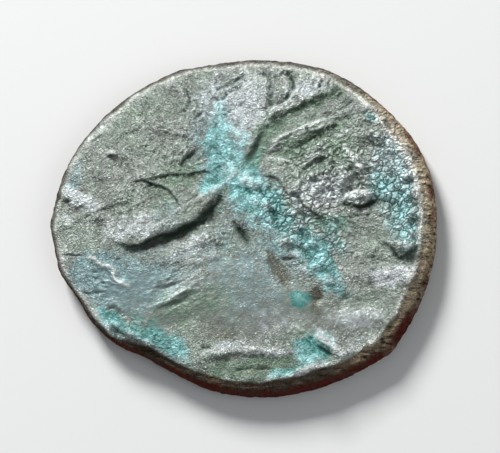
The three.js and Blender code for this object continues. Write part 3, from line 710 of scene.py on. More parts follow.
# Dark lines along creases, steps and pits: partly dirt in them, partly painted shade, with painted shadows
# along the blade's foot and below the nodule.
DIRT_AND_SHADE_LINES = [
    # painted shadow along the foot of the blade
    ridge(
        through((-7.1, -0.7), (-6.3, -0.86), (-5.5, -0.8), (-4.75, -0.42), (-3.7, -0.17), (-2.8, 0.27)),
        0.13, 1.2, 0.1,
    ),
    ridge(through((-3.7, -0.17), (-2.8, 0.27), (-2.0, 0.82), (-1.4, 1.4), (-1.1, 1.95)), 0.14, 1.1, 0.1),
    # painted shade on the blade's slope above its foot
    swelling((-1.8, 1.35), (0.9, 0.14), 46, 0.7),
    ridge(LEFT_GROOVE, 0.1, 0.4, 0.1),
    ridge(through((-10.0, 1.9), (-9.5, 1.45), (-8.9, 1.25), (-8.4, 1.25)), 0.11, 0.6, 0.15),
    ridge(LOW_SPIKE, 0.08, 1.3, 0.12),
    ridge(through((-4.4, 3.0), (-3.2, 3.06), (-1.7, 3.22)), 0.06, 0.9, 0.15),
    # painted shadow below the nodule
    swelling((-7.25, 4.12), (0.24, 0.06), 0, 1.0),
    ridge(through((-3.4, 3.65), (-2.8, 4.15), (-2.15, 4.6)), 0.07, 0.7, 0.2),
    ridge(through((-2.6, 3.75), (-2.0, 4.15), (-1.6, 4.5), (-1.0, 4.25)), 0.16, 0.75, 0.2),
    ridge(through((-4.5, 5.4), (-3.6, 5.2), (-2.8, 5.05)), 0.08, 0.7, 0.2),
    ridge(through((-3.3, 8.1), (-2.9, 7.3), (-3.1, 6.8), (-3.9, 6.2)), 0.06, 0.6, 0.15),
    ridge(through((-2.6, 5.95), (-2.25, 6.4), (-2.0, 6.5), (-1.95, 6.25), (-2.5, 5.85)), 0.05, 0.7, 0.1),
    ridge(arc((-8.5, 4.85), (-7.5, 5.35), 0.05), 0.08, 0.6, 0.2),
    ridge(through((-10.35, 2.05), (-10.0, 1.8), (-9.6, 1.55)), 0.13, 0.8, 0.15),
    ridge(arc((1.15, 5.6), (2.2, 5.95), -0.1), 0.14, 0.6, 0.15),
    ridge(through((2.3, 6.3), (3.2, 6.65), (4.1, 7.05), (4.9, 7.4), (5.5, 8.0)), 0.17, 0.65, 0.15),
    ridge(through((0.1, 3.5), (0.65, 4.4), (0.95, 5.0), (1.2, 5.5)), 0.14, 0.6, 0.15),
    ridge(through((1.1, 8.9), (1.6, 8.2), (1.7, 7.5), (1.6, 6.6)), 0.1, 0.22, 0.15),
    ridge(through((2.4, 8.85), (2.85, 8.2), (2.75, 7.6), (2.2, 6.9)), 0.08, 0.5, 0.15),
    ridge(arc((4.25, 7.85), (4.6, 8.5)), 0.07, 0.6, 0.2),
    ridge(arc((3.85, 7.9), (4.1, 8.2)), 0.06, 0.5, 0.2),
    ridge(arc((-1.6, 7.6), (0.3, 8.65), -0.08), 0.1, 0.2, 0.2),
    ridge(LOWER_FOLD, 0.15, 0.5, 0.2),
    ridge(through((-4.9, 0.1), (-4.2, 0.72), (-3.4, 1.35)), 0.05, 0.3, 0.2),
    ridge(arc((-3.3, 1.32), (-2.3, 1.95)), 0.06, 0.6, 0.2),
    ridge(MASS_EDGE, 0.08, 0.65, 0.1),
    ridge(SHELF, 0.14, 1.2, 0.2),
    ridge(through((5.6, 3.65), (6.05, 3.15), (6.35, 2.7), (6.5, 2.25)), 0.09, 0.7, 0.2),
    ridge(arc((5.3, 2.1), (7.0, 2.5), 0.05), 0.08, 0.6, 0.2),
    ridge(through((3.1, 2.9), (3.5, 3.4), (4.1, 3.75), (5.0, 3.95)), 0.08, 0.6, 0.2),
    ridge(through((6.3, 4.9), (6.8, 4.65), (7.2, 4.5), (7.9, 5.0)), 0.1, 0.45, 0.2),
    ridge(RIGHT_CREASE, 0.14, 0.85, 0.15),
    swelling((9.6, -1.6), (0.5, 0.35), -10, 0.6),
    swelling((-5.6, -6.35), (0.8, 0.22), -25, 0.8),
    swelling((-6.9, -5.45), (0.5, 0.16), -35, 0.5),
    swelling((8.75, -5.2), (0.9, 0.16), 60, 0.6),
    ridge(through((-5.0, -4.3), (-4.4, -4.15), (-3.8, -3.9), (-3.2, -3.75)), 0.06, 0.5, 0.2),
    ridge(arc((-4.9, -2.95), (-3.4, -2.75), 0.1), 0.06, 0.5, 0.2),
    ridge(through((-7.6, -4.2), (-7.1, -4.3), (-6.6, -4.75)), 0.1, 0.4, 0.2),
    swelling((0.0, -0.3), (0.62, 0.24), 122, 0.8),
    ridge(through((0.1, -0.4), (-0.35, 0.2), (-0.6, 0.6)), 0.12, 0.5, 0.2),
    swelling((3.95, -3.6), (0.25, 0.35), 90, 0.4),
    swelling((5.55, -3.8), (0.18, 0.14), 40, 0.5),
    swelling((-8.15, -2.65), (0.1, 0.07), 0, 0.5),
    swelling((-7.8, -2.88), (0.1, 0.07), 0, 0.5),
    swelling((-8.1, -3.4), (0.35, 0.07), 8, 0.5),
    ridge(arc((4.05, -6.4), (4.85, -6.95)), 0.06, 0.45, 0.2),
    ridge(
        through((-7.7, -5.1), (-7.0, -5.6), (-6.2, -6.0), (-5.3, -6.35), (-4.3, -6.95), (-3.4, -7.5)),
        0.22, 0.75, 0.15,
    ),
    ridge(through((3.3, -2.75), (4.0, -2.35), (4.5, -2.2), (5.0, -2.8), (5.5, -3.6)), 0.17, 0.5, 0.2),
    ridge(through((3.0, 0.2), (3.7, 0.75), (4.3, 0.4), (4.6, 0.1)), 0.12, 0.5, 0.2),
    ridge(through((1.9, -1.5), (2.3, -1.65), (3.0, -1.5)), 0.1, 0.6, 0.2),
    ridge(through((4.9, 5.9), (5.6, 6.1), (6.3, 6.6)), 0.1, 0.3, 0.2),
]
# Crests made pale: partly rubbed by wear, partly painted highlights where they face the light.
RUBBED_AND_HIGHLIT = [
    # painted highlight on the top of the nodule
    swelling((-7.25, 4.38), (0.16, 0.1), 0, 1.2),
    swelling((0.2, 2.8), (0.7, 0.35), -30, 0.25),
    swelling((-0.8, 3.3), (0.6, 0.4), 50, 0.25),
    swelling((-7.7, 5.75), (0.5, 0.13), 35, 0.8),
    ridge(SQUIGGLE, 0.09, 1.2, 0.08),
    ridge(UPPER_FOLD, 0.08, 1.0, 0.15),
    ridge(BLADE_CREST, 0.06, 0.45, 0.15),
    ridge(through((5.5, 4.65), (5.9, 4.15), (6.2, 3.65), (6.6, 3.1)), 0.09, 1.4, 0.15),
    ridge(through((1.25, 8.6), (1.4, 7.8), (1.35, 6.9)), 0.09, 0.9, 0.2),
    ridge(through((1.9, 6.45), (2.5, 6.95), (3.3, 7.3)), 0.1, 0.7, 0.2),
    ridge(through((2.15, 8.6), (2.45, 8.0), (2.3, 7.4)), 0.09, 0.6, 0.2),
    ridge(arc((4.0, 7.75), (4.35, 8.5)), 0.08, 0.8, 0.2),
    ridge(arc((4.45, 7.85), (4.8, 8.45)), 0.08, 0.8, 0.2),
    ridge(arc((-1.5, 7.85), (0.1, 8.75), -0.08), 0.09, 0.7, 0.2),
    ridge(through((2.6, 5.2), (3.6, 5.6), (4.6, 6.0), (5.3, 6.1)), 0.06, 0.6, 0.2),
    ridge(through((1.0, 3.82), (2.0, 3.85), (2.95, 3.55)), 0.07, 0.9, 0.2),
    ridge(through((3.3, 3.4), (3.9, 3.85), (4.6, 4.15)), 0.09, 0.7, 0.2),
    ridge(arc((5.3, 1.85), (7.0, 1.95), 0.08), 0.1, 1.0, 0.2),
    ridge(through((4.9, 5.0), (5.6, 5.2), (6.4, 5.6)), 0.08, 0.6, 0.2),
    ridge(through((5.0, 6.3), (5.7, 6.5), (6.3, 6.9)), 0.07, 0.6, 0.2),
    ridge(arc((-4.3, -1.15), (-1.8, -0.25)), 0.14, 0.5, 0.2),
    ridge(arc((-3.4, -1.9), (-1.1, -1.25)), 0.13, 0.5, 0.2),
    ridge(through((-4.4, -3.85), (-3.6, -3.35), (-2.9, -2.9)), 0.06, 0.3, 0.2),
    ridge(arc((-10.1, 1.6), (-8.8, 1.2), 0.1), 0.12, 0.8, 0.2),
    ridge(through((6.0, 7.4), (7.6, 6.35), (8.7, 4.9), (9.45, 3.2), (9.85, 1.5)), 0.07, 1.2, 0.1),
    ridge(through((-3.0, -6.95), (-1.3, -6.6), (0.2, -6.5), (2.6, -6.7)), 0.12, 0.6, 0.2),
    ridge(through((2.9, -7.9), (3.9, -7.7), (4.9, -7.3)), 0.14, 1.1, 0.2),
    ridge(through((3.8, -5.75), (4.5, -6.2), (5.4, -6.95)), 0.16, 1.0, 0.2),
    ridge(arc((7.2, -2.6), (9.3, -2.5), 0.05), 0.25, 0.6, 0.2),
]
SILVER = [
    ((-0.2, 7.1), (2.7, 1.7), 10, 0.75),
    ((0.0, 5.4), (0.6, 1.5), -15, 0.5),
    ((-8.9, 1.7), (1.2, 0.42), -30, 1.4),
    ((-6.3, 0.1), (1.8, 0.75), 15, 0.72),
    ((-9.4, -0.4), (0.9, 0.4), 10, 0.35),
    ((-9.5, 0.8), (0.6, 0.4), 10, 0.6),
    ((-2.9, -1.1), (1.7, 0.6), 22, 0.5),
    ((4.4, 2.0), (1.7, 0.9), 12, 0.85),
    ((5.2, 3.1), (1.7, 0.8), 12, 0.3),
    ((8.5, 3.6), (1.6, 0.9), 108, 0.65),
    ((9.1, 0.8), (1.8, 0.5), 95, 0.4),
    ((3.0, 0.0), (1.6, 0.6), -50, 0.15),
    ((8.3, -2.6), (1.4, 0.5), 5, 1.9),
    ((6.2, -4.95), (1.5, 0.5), 5, 0.8),
    ((6.5, -6.4), (1.3, 0.6), 25, 0.5),
    ((-0.9, -6.4), (1.2, 0.3), 5, 0.75),
    ((1.6, -6.75), (1.6, 0.18), 0, 0.8),
    ((1.8, -5.0), (1.8, 0.7), 0, 0.4),
    ((3.6, -7.7), (1.2, 0.28), 12, 1.3),
    ((4.7, -6.35), (1.1, 0.28), -38, 1.2),
    ((3.9, -2.2), (0.5, 0.4), -50, 0.8),
    ((3.8, 7.8), (1.4, 0.6), 20, 0.7),
    ((6.3, 1.75), (1.0, 0.2), 12, 0.9),
]


def spread(patches, xy, raggedness=0.0, seed=0.0):
    """How strongly patches show at each point, with edges made ragged by noise."""
    shift = np.zeros_like(xy)
    if raggedness:
        shift = wander(xy, raggedness, 1.1, seed) + wander(xy, 0.5 * raggedness, 3.7, seed) - 2 * xy
    total = sum(swelling(middle, radii, turn, 1.0)(xy + shift) * strength
                for middle, radii, turn, strength in patches)  # fmt: skip
    return np.clip(total, 0, 1)


# ---------------------------------------------------------------------------------------------
# The blank flan, cut as a drum of unit radius and then shaped and struck
# ---------------------------------------------------------------------------------------------

STRUCK, EDGE, BACK = 1.0, 0.0, -1.0  # heights of the drum's top, lowest side row and bottom


def deselect_all():
    if bpy.context.object and bpy.context.object.mode != "OBJECT":
        bpy.ops.object.mode_set(mode="OBJECT")
    bpy.ops.object.select_all(action="DESELECT")


def cut_blank(face_rings, edge_rows, back_rings):
    """A six-sided drum of unit radius: a fine top, rows down the side, and a plainer bottom."""
    deselect_all()
    bpy.ops.mesh.primitive_circle_add(vertices=6, radius=1, fill_type="TRIFAN", location=(0, 0, 0))
    drum = bpy.context.object
    bpy.ops.object.mode_set(mode="EDIT")
    bpy.ops.mesh.select_mode(type="EDGE")
    bpy.ops.mesh.select_all(action="SELECT")
    bpy.ops.transform.translate(value=(0, 0, STRUCK))
    bpy.ops.mesh.subdivide(number_cuts=9)
    bpy.ops.mesh.subdivide(number_cuts=face_rings // 10 - 1)
    bpy.ops.mesh.select_all(action="DESELECT")
    bpy.ops.mesh.select_non_manifold()
    for _ in range(edge_rows):
        bpy.ops.mesh.extrude_region_move(
            TRANSFORM_OT_translate={"value": (0, 0, (EDGE - STRUCK) / edge_rows)}
        )
    bpy.ops.mesh.select_all(action="DESELECT")
    bpy.ops.mesh.primitive_circle_add(
        vertices=6, radius=1, fill_type="TRIFAN", location=(0, 0, BACK)
    )
    bpy.ops.mesh.subdivide(number_cuts=9)
    bpy.ops.mesh.subdivide(number_cuts=back_rings // 10 - 1)
    bpy.ops.mesh.select_all(action="DESELECT")
    bpy.ops.mesh.select_non_manifold()
    bpy.ops.mesh.bridge_edge_loops()
    bpy.ops.mesh.select_all(action="SELECT")
    bpy.ops.mesh.quads_convert_to_tris(quad_method="BEAUTY")
    bpy.ops.mesh.normals_make_consistent(inside=False)
    bpy.ops.object.mode_set(mode="OBJECT")
    return drum


def points_of(piece):
    flat = np.empty(3 * len(piece.data.vertices))
    piece.data.vertices.foreach_get("co", flat)
    return flat.reshape(-1, 3)


def move_points(piece, points):
    piece.data.vertices.foreach_set("co", points.astype(np.float32).ravel())
    piece.data.update()


def unrolled(drum):
    """For each point of the drum: its angle round the coin, its share of the way out, its part."""
    x, y, part = points_of(drum).T
    far = np.hypot(x, y)
    sector = math.pi / 3
    corner = math.atan2(1.0, 0.0)
    turn = np.where(far > 1e-9, np.arctan2(y, x) - corner, 0)
    side = np.floor(turn / sector + 1e-6)
    within = turn - (side + 0.5) * sector
    ring = far * np.cos(within) / math.cos(sector / 2)
    share = np.where(ring > 1e-9, 0.5 + far * np.sin(within) / np.maximum(ring, 1e-9), 0)
    return corner + (side + share) * sector, ring, part


def zones(part):
    """Which points are on the struck face, on the edge and on the back."""
    face = part > STRUCK - 1e-6
    back = part < (EDGE + BACK) / 2
    return face, ~(face | back), back


def shaped_flan(drum, sizes):
    """The struck coin's points in millimetres, with each one's part and share of the way out."""
    angle, reach, part = unrolled(drum)
    top, _, low = zones(part)
    length, width = sizes.length / MM, sizes.width / MM

    lean = np.maximum(0, np.cos(angle - BEVEL_TOWARDS))
    bevel = BEVEL_LEAST + (BEVEL_MOST - BEVEL_LEAST) * np.sqrt(lean)
    rim = outline(angle, bevel, length, width)
    girth = outline(angle, 0.0, length, width)
    back_rim = outline(angle, BACK_INSET, length, width)

    # struck face
    plan = rim * reach[:, None]
    past = np.maximum(0, (reach - RIM_START) / (1 - RIM_START))
    level = sizes.field / MM - FIELD_FALL * reach**2 - RIM_ROUNDING * past**2
    relief = np.zeros(len(angle))
    near_top = part >= EDGE
    carved = wander(wander(struck(plan[near_top]), 0.09, 0.9, 3.0), 0.04, 2.8, 8.0)
    relief[near_top] = heights([*obverse_forms(), *obverse_details(), wrinkled], carved)
    face_z = level + relief * (1 - past**2)

    # back
    under = reach[:, None] * back_rim
    back_relief = np.zeros(len(angle))
    back_relief[low] = heights(reverse_forms(), under[low])
    back_z = np.maximum(0, BACK_LEVEL - back_relief)

    # edge: a quarter of an oval from the struck rim down to the girth
    swing = np.clip(STRUCK - part, 0, 1) * math.pi / 2
    side = girth * np.sin(swing)[:, None] + rim * (1 - np.sin(swing))[:, None]
    side_z = GIRTH_LEVEL + (face_z - GIRTH_LEVEL) * np.cos(swing)

    xy = np.where(top[:, None], plan, np.where(low[:, None], under, side))
    z = np.where(top, face_z, np.where(low, back_z, side_z))
    return np.column_stack([xy, z]), part, reach


def weigh(piece, name, weights):
    group = piece.vertex_groups.new(name=name)
    steps = np.round(np.clip(weights, 0, 1) * 32).astype(int)
    for step in range(1, 33):
        group.add(np.nonzero(steps == step)[0].tolist(), step / 32, "REPLACE")
    return group.name


def displace(piece, name, kind, grain, strength, group, direction="Z", **settings):
    """Moves the points by a procedural texture, with the given grain size."""
    texture = bpy.data.textures.new(name, kind)
    texture.noise_scale = grain
    for key, value in settings.items():
        setattr(texture, key, value)
    modifier = piece.modifiers.new(name, "DISPLACE")
    modifier.texture = texture
    modifier.texture_coords = "LOCAL"
    modifier.direction = direction
    modifier.strength = strength
    modifier.mid_level = 0.5
    modifier.vertex_group = group
    bpy.ops.object.modifier_apply(modifier=name)


ROUGH_TO = 0.985  # the roughness of the face fades out from here to the rim


def roughen(coin, crusty, plain, side):
    """Pebbly lumps on the crusts, grain and waves on the plain metal, and grain on the edge."""
    crust_group = weigh(coin, "crusty", crusty)
    plain_group = weigh(coin, "plain", plain)
    side_group = weigh(coin, "side", side)
    displace(coin, "pebbles", "VORONOI", 0.4, -0.05, crust_group, noise_intensity=1.0)
    displace(coin, "lumps", "CLOUDS", 0.8, 0.19, crust_group, noise_depth=2)
    displace(coin, "grain", "CLOUDS", 0.16, 0.055, plain_group, noise_depth=1)
    displace(coin, "ripples", "CLOUDS", 0.6, 0.15, plain_group, noise_depth=2)
    displace(coin, "waves", "CLOUDS", 1.5, 0.36, plain_group, noise_depth=1)
    displace(coin, "edge grain", "CLOUDS", 0.35, 0.12, side_group, direction="NORMAL", noise_depth=2)


# --------------------------------------------------------------------------------------------- Shares of wear, corrosion, colour and painted light and shade at each point, which the material reads
# Shares of wear, corrosion and colour at each point, which the material reads
# ---------------------------------------------------------------------------------------------


def averaged(values, edges, times):
    """Values smoothed over neighbouring points, the given number of times."""
    count = np.bincount(edges.ravel(), minlength=len(values)) + 1
    for _ in range(times):
        total = values.copy()
        total += np.bincount(edges[:, 0], values[edges[:, 1]], len(values))
        total += np.bincount(edges[:, 1], values[edges[:, 0]], len(values))
        values = total / count
    return values


def write_attribute(piece, name, values):
    layer = piece.data.attributes.new(name, "FLOAT", "POINT")
    layer.data.foreach_set("value", values.astype(np.float32))


def crests_and_hollows(coin, face):
    """Towards one on crests of the struck face, towards nought in hollows, and half elsewhere."""
    edges = np.empty(2 * len(coin.data.edges), dtype=np.int32)
    coin.data.edges.foreach_get("vertices", edges)
    edges = edges.reshape(-1, 2)
    z = points_of(coin)[:, 2]
    near = z - averaged(z, edges, 6)
    wide = z - averaged(z, edges, 60)
    return np.clip(0.5 + np.where(face, 2.2 * near + 1.9 * wide, 0), 0, 1)


def corrosion(place):
    """How much each kind of corrosion, colour, dirt and wear, and the painted highlights and shade, show at
    each point of the die.
    """
    return {
        "verdigris": spread(VERDIGRIS, place, 0.3, 3.1),
        "crust": spread(CRUST, place, 0.4, 7.7),
        "smooth": spread(SMOOTH, place, 0.4, 1.9),
        "olive": spread(OLIVE, place, 0.4, 5.3),
        "brown": spread(BROWN, place, 0.2, 9.2),
        "silver": spread(SILVER, place, 0.3, 2.4),
        "blue": spread(BLUE, place, 0.4, 6.1),
        "rubbed_and_highlit": np.clip(heights(RUBBED_AND_HIGHLIT, wander(place, 0.05, 2.4, 5.5)), 0, 1),
        "dirt_and_shade_lines": np.clip(heights(DIRT_AND_SHADE_LINES, wander(place, 0.06, 2.6, 8.8)), 0, 1),
    }


def edge_shares(points, part, reach):
    """How dark, red, rubbed and streaked the metal is, on the edge and just inside the rim, with painted
    shade on the edge below and painted highlight on the rim.
    """
    angle = np.degrees(np.arctan2(points[:, 1], points[:, 0]))
    face, side, back = zones(part)

    def towards(middle, spread):
        return bell(((angle - middle + 180) % 360 - 180) / spread)

    # the dark edge, partly painted shade, runs a little way on to the face below and at the right
    below, right = towards(-88, 48), towards(15, 34)
    wobble = np.array([noise.noise((1.1 * x, 1.1 * y, 4.2)) for x, y, _ in points])
    start = 0.982 - 0.02 * below - 0.022 * towards(32, 26) - 0.014 * towards(-30, 30) + 0.014 * wobble
    on_face = smooth(start, start + 0.016, reach) * np.clip(0.8 + below, 0, 1)
    # red oxide shows in patches towards the widest line
    down = np.where(side, STRUCK - part, 0)
    oxide = smooth(0.1, 0.5, down + 0.2 * wobble) * np.clip(0.4 + 0.9 * wobble + below, 0, 1)
    # the rim is made bright, partly as rubbed wear and partly as painted highlight, except below and at the
    # left
    above = np.clip(1 - 1.1 * below - 0.6 * towards(185, 50), 0, 1)
    rubbed_and_highlit = bell((reach - start + 0.008) / 0.008) * above * (1 + 0.6 * towards(30, 40))
    return {
        "edge": np.where(face, on_face, 1.0) * np.where(back, 0.5, 0.99),
        "oxide": oxide,
        "rim": np.where(face, rubbed_and_highlit, 0),
        "pale_edge": np.clip(0.1 + right + 0.3 * towards(-40, 22), 0, 1),
    }


# ---------------------------------------------------------------------------------------------
# Material
# ---------------------------------------------------------------------------------------------


class Wiring:
    """Adds and joins the nodes of one material."""

    def __init__(self, name):
        self.material = bpy.data.materials.new(name)
        self.material.use_nodes = True
        self.tree = self.material.node_tree
        self.shader = self.tree.nodes["Principled BSDF"]
        coordinates = self.tree.nodes.new("ShaderNodeTexCoord")
        mapping = self.tree.nodes.new("ShaderNodeMapping")
        mapping.inputs["Scale"].default_value = (1 / MM, 1 / MM, 1 / MM)
        self.join(coordinates.outputs["Object"], mapping.inputs["Vector"])
        self.millimetres = mapping.outputs["Vector"]

    def join(self, output, socket):
        self.tree.links.new(output, socket)

    def put(self, socket, value):
        if hasattr(value, "is_output"):
            self.join(value, socket)
        else:
            socket.default_value = value

    def attribute(self, name):
        node = self.tree.nodes.new("ShaderNodeAttribute")
        node.attribute_name = name
        return node.outputs["Fac"]

    def noise(self, scale, detail=3.0, roughness=0.6, distortion=0.0, stretch=None):
        node = self.tree.nodes.new("ShaderNodeTexNoise")
        node.inputs["Scale"].default_value = scale
        node.inputs["Detail"].default_value = detail
        node.inputs["Roughness"].default_value = roughness
        node.inputs["Distortion"].default_value = distortion
        vector = self.millimetres
        if stretch:
            mapping = self.tree.nodes.new("ShaderNodeMapping")
            mapping.inputs["Scale"].default_value = stretch
            self.join(vector, mapping.inputs["Vector"])
            vector = mapping.outputs["Vector"]
        self.join(vector, node.inputs["Vector"])
        return node.outputs["Fac"]

    def cell_borders(self, scale, warp):
        """How far places are from the border of their cell, with cells bent by as much as warp."""
        push = self.tree.nodes.new("ShaderNodeTexNoise")
        push.inputs["Scale"].default_value = 2.4
        self.join(self.millimetres, push.inputs["Vector"])
        warped = self.tree.nodes.new("ShaderNodeVectorMath")
        warped.operation = "MULTIPLY_ADD"
        self.join(push.outputs["Color"], warped.inputs[0])
        warped.inputs[1].default_value = (2 * warp, 2 * warp, 2 * warp)
        self.join(self.millimetres, warped.inputs[2])
        node = self.tree.nodes.new("ShaderNodeTexVoronoi")
        node.feature = "DISTANCE_TO_EDGE"
        node.inputs["Scale"].default_value = scale
        self.join(warped.outputs["Vector"], node.inputs["Vector"])
        return node.outputs["Distance"]

    def crests(self, value, steepness=7.0):
        """One along the middle values of a noise, falling to zero away from them."""
        away = self.math("ABSOLUTE", self.less(value, 0.5))
        return self.less(1.0, self.times(away, steepness), clamp=True)

    def math(self, operation, a, b=0.0, clamp=False):
        node = self.tree.nodes.new("ShaderNodeMath")
        node.operation = operation
        node.use_clamp = clamp
        self.put(node.inputs[0], a)
        self.put(node.inputs[1], b)
        return node.outputs[0]

    def times(self, a, b):
        return self.math("MULTIPLY", a, b)

    def plus(self, a, b):
        return self.math("ADD", a, b)

    def less(self, a, b, clamp=False):
        return self.math("SUBTRACT", a, b, clamp)

    def ramp(self, value, low, high, to_low=0.0, to_high=1.0):
        node = self.tree.nodes.new("ShaderNodeMapRange")
        node.interpolation_type = "SMOOTHSTEP"
        self.put(node.inputs["Value"], value)
        for name, number in (
            ("From Min", low),
            ("From Max", high),
            ("To Min", to_low),
            ("To Max", to_high),
        ):
            node.inputs[name].default_value = number
        return node.outputs["Result"]

    def mix(self, share, a, b, blend="MIX"):
        node = self.tree.nodes.new("ShaderNodeMix")
        node.data_type = "RGBA"
        node.blend_type = blend
        self.put(node.inputs["Factor"], share)
        for socket, value in ((node.inputs["A"], a), (node.inputs["B"], b)):
            is_socket = hasattr(value, "is_output")
            self.put(socket, value if is_socket else (*value, 1.0))
        return node.outputs["Result"]


class Weathering:
    """The masks, noises and cells that the patina's colour, gloss and relief share."""

    def __init__(self, wires):
        self.verdigris = wires.attribute("verdigris")
        self.crust = wires.attribute("crust")
        self.smooth = wires.attribute("smooth")
        self.relief = wires.attribute("relief")
        self.edge = wires.attribute("edge")
        self.mottle = wires.noise(1.7, 4.0, 0.65)
        self.fine_mottle = wires.noise(4.2, 3.0, 0.6, 0.6)
        self.grain = wires.noise(8.0, 2.0, 0.6, 1.0)
        self.worms = wires.crests(wires.noise(4.6, 1.5, 0.5, 1.4))
        self.streaks = wires.noise(3.4, 3.0, 0.6, 0.2, stretch=(0.3, 1.7, 1.0))
        borders = wires.cell_borders(2.5, warp=0.3)
        self.cracks = wires.times(wires.ramp(borders, 0.12, 0.015), self.crust)
        self.domes = wires.times(wires.ramp(borders, 0.0, 0.34), self.crust)
        # fine marks are strongest where the metal is neither smooth nor crusted
        plain = wires.less(1.0, self.smooth, clamp=True)
        settled = wires.less(0.88, wires.times(self.crust, 0.5))
        self.contrast = wires.plus(wires.times(plain, settled), 0.12)


def stained(wires, metal, colours):
    """The field's patina, with its stains, silvery wear and blue-green corrosion."""

    def patch(share, low=0.05, strength=1.0):
        """A mask with its edge broken up by the mottling."""
        broken = wires.plus(share, wires.ramp(metal.mottle, 0.3, 0.7, -0.2, 0.2))
        broken = wires.plus(broken, wires.ramp(metal.fine_mottle, 0.35, 0.65, -0.15, 0.15))
        mask = wires.times(wires.ramp(broken, low, 1.0), wires.ramp(share, 0.0, 0.35))
        return wires.times(mask, strength)

    broad = wires.noise(0.5, 3.0)
    colour = wires.mix(wires.ramp(broad, 0.35, 0.65), colours.patina, colours.warm_patina)
    spots = wires.times(wires.ramp(metal.fine_mottle, 0.5, 0.7), 0.35)
    colour = wires.mix(spots, colour, colours.olive)
    colour = wires.mix(patch(wires.attribute("blue")), colour, colours.blue_patina)
    colour = wires.mix(patch(wires.attribute("olive"), strength=0.75), colour, colours.olive)
    colour = wires.mix(patch(wires.attribute("brown"), strength=0.8), colour, colours.brown)
    colour = wires.mix(patch(wires.attribute("silver"), strength=0.8), colour, colours.silver)
    # verdigris is paler on its crests and darker where it is smooth
    pale = wires.ramp(metal.relief, 0.2, 0.68)
    pale = wires.plus(pale, wires.ramp(metal.mottle, 0.35, 0.65, -0.3, 0.3))
    pale = wires.less(pale, wires.times(metal.smooth, 0.85), clamp=True)
    turquoise = wires.mix(pale, colours.deep_verdigris, colours.verdigris)
    return wires.mix(patch(metal.verdigris, low=0.0, strength=0.85), colour, turquoise)


def worn_dirty_lit_and_shaded(wires, metal, colours, colour):
    """Crests are paler, partly from wear and partly as painted highlight; cracks are darkened; hollows get
    painted shade; and creases, steps and pits get dark lines, partly dirt and partly painted shade and
    shadow.
    """
    # painted highlight, partly wear: crests are made paler by the relief
    lit = wires.times(wires.ramp(metal.relief, 0.54, 0.85), 0.55)
    colour = wires.mix(lit, colour, colours.crest_and_highlight)
    # painted highlight on the tops of the crust's pebbles, pale blue-green on the verdigris
    shine = wires.times(metal.domes, wires.ramp(metal.fine_mottle, 0.3, 0.65, 0.1, 0.45))
    bloom_and_highlight = wires.mix(metal.verdigris, colours.crest_and_highlight, colours.bloom_and_highlight)
    colour = wires.mix(shine, colour, bloom_and_highlight)
    damp_and_shade = wires.mix(wires.times(metal.verdigris, 0.8), colours.dirt_and_shade, colours.damp_and_shade)
    cracked = wires.times(metal.cracks, wires.ramp(metal.verdigris, 0.0, 0.5, 0.45, 0.9))
    colour = wires.mix(cracked, colour, damp_and_shade)
    # painted shade: the hollows are darkened by the relief, less on the crusts
    dark = wires.less(0.68, wires.times(metal.crust, 0.38))
    colour = wires.mix(wires.times(wires.ramp(metal.relief, 0.46, 0.1), dark), colour, damp_and_shade)
    # pale strokes along crests: partly rubbed wear, partly painted highlight
    rubbed_and_highlit = wires.ramp(metal.fine_mottle, 0.3, 0.6, 0.6, 1.0)
    rubbed_and_highlit = wires.times(wires.attribute("rubbed_and_highlit"), rubbed_and_highlit)
    colour = wires.mix(rubbed_and_highlit, colour, colours.crest_and_highlight)
    # dark lines along creases, steps and pits: partly dirt, partly painted shade and shadow
    return wires.mix(wires.times(wires.attribute("dirt_and_shade_lines"), 0.95), colour, colours.dirt_and_shade)


def edged(wires, metal, colours, colour):
    """The rim made pale by wear and by painted highlight, and the dark broken edge, partly painted shade
    below, with red oxide lower down.
    """
    rubbed_and_highlit = wires.ramp(metal.fine_mottle, 0.3, 0.55, 0.35, 0.95)
    # pale rim: partly rubbed wear, partly painted highlight
    colour = wires.mix(wires.times(wires.attribute("rim"), rubbed_and_highlit), colour, colours.rim)
    streaked = wires.times(wires.ramp(metal.streaks, 0.3, 0.6), wires.attribute("pale_edge"))
    side = wires.mix(streaked, colours.edge, colours.edge_light)
    side = wires.mix(wires.attribute("oxide"), side, colours.oxide)
    # dark edge colour, partly painted shade where the edge lies below and at the right
    share = wires.times(metal.edge, wires.ramp(metal.mottle, 0.3, 0.6, 0.9, 1.0))
    return wires.mix(share, colour, side)


def speckled(wires, metal, colour):
    """Specks, thin dark lines and broad blotches, which all darken or lighten the colour."""
    specks = wires.times(wires.ramp(metal.grain, 0.34, 0.66, -0.17, 0.17), metal.contrast)
    lines = wires.times(wires.ramp(metal.worms, 0.55, 0.95, 0.07, -0.3), metal.contrast)
    marks = wires.times(wires.plus(specks, 1.0), wires.plus(lines, 1.0))
    swing = wires.less(1.0, wires.times(metal.smooth, 0.6))
    blotches = wires.times(wires.ramp(metal.mottle, 0.32, 0.68, -0.22, 0.2), swing)
    blotches = wires.plus(blotches, wires.less(1.0, wires.times(metal.smooth, 0.32)))
    return wires.mix(1.0, colour, wires.times(marks, blotches), "MULTIPLY")


def fine_relief(wires, metal, depth):
    """Relief too fine for the mesh: grain, pebbles of the crust and streaks of the smooth parts."""
    grain = wires.less(metal.grain, wires.times(metal.worms, 0.55))
    grain = wires.plus(grain, wires.times(metal.fine_mottle, 1.2))
    streaks = wires.times(metal.streaks, wires.times(metal.smooth, 0.1))
    height = wires.plus(wires.times(grain, metal.contrast), wires.times(metal.domes, 1.4))
    bump = wires.tree.nodes.new("ShaderNodeBump")
    bump.inputs["Strength"].default_value = 1.0
    bump.inputs["Distance"].default_value = depth
    wires.join(wires.plus(height, streaks), bump.inputs["Height"])
    return bump.outputs["Normal"]


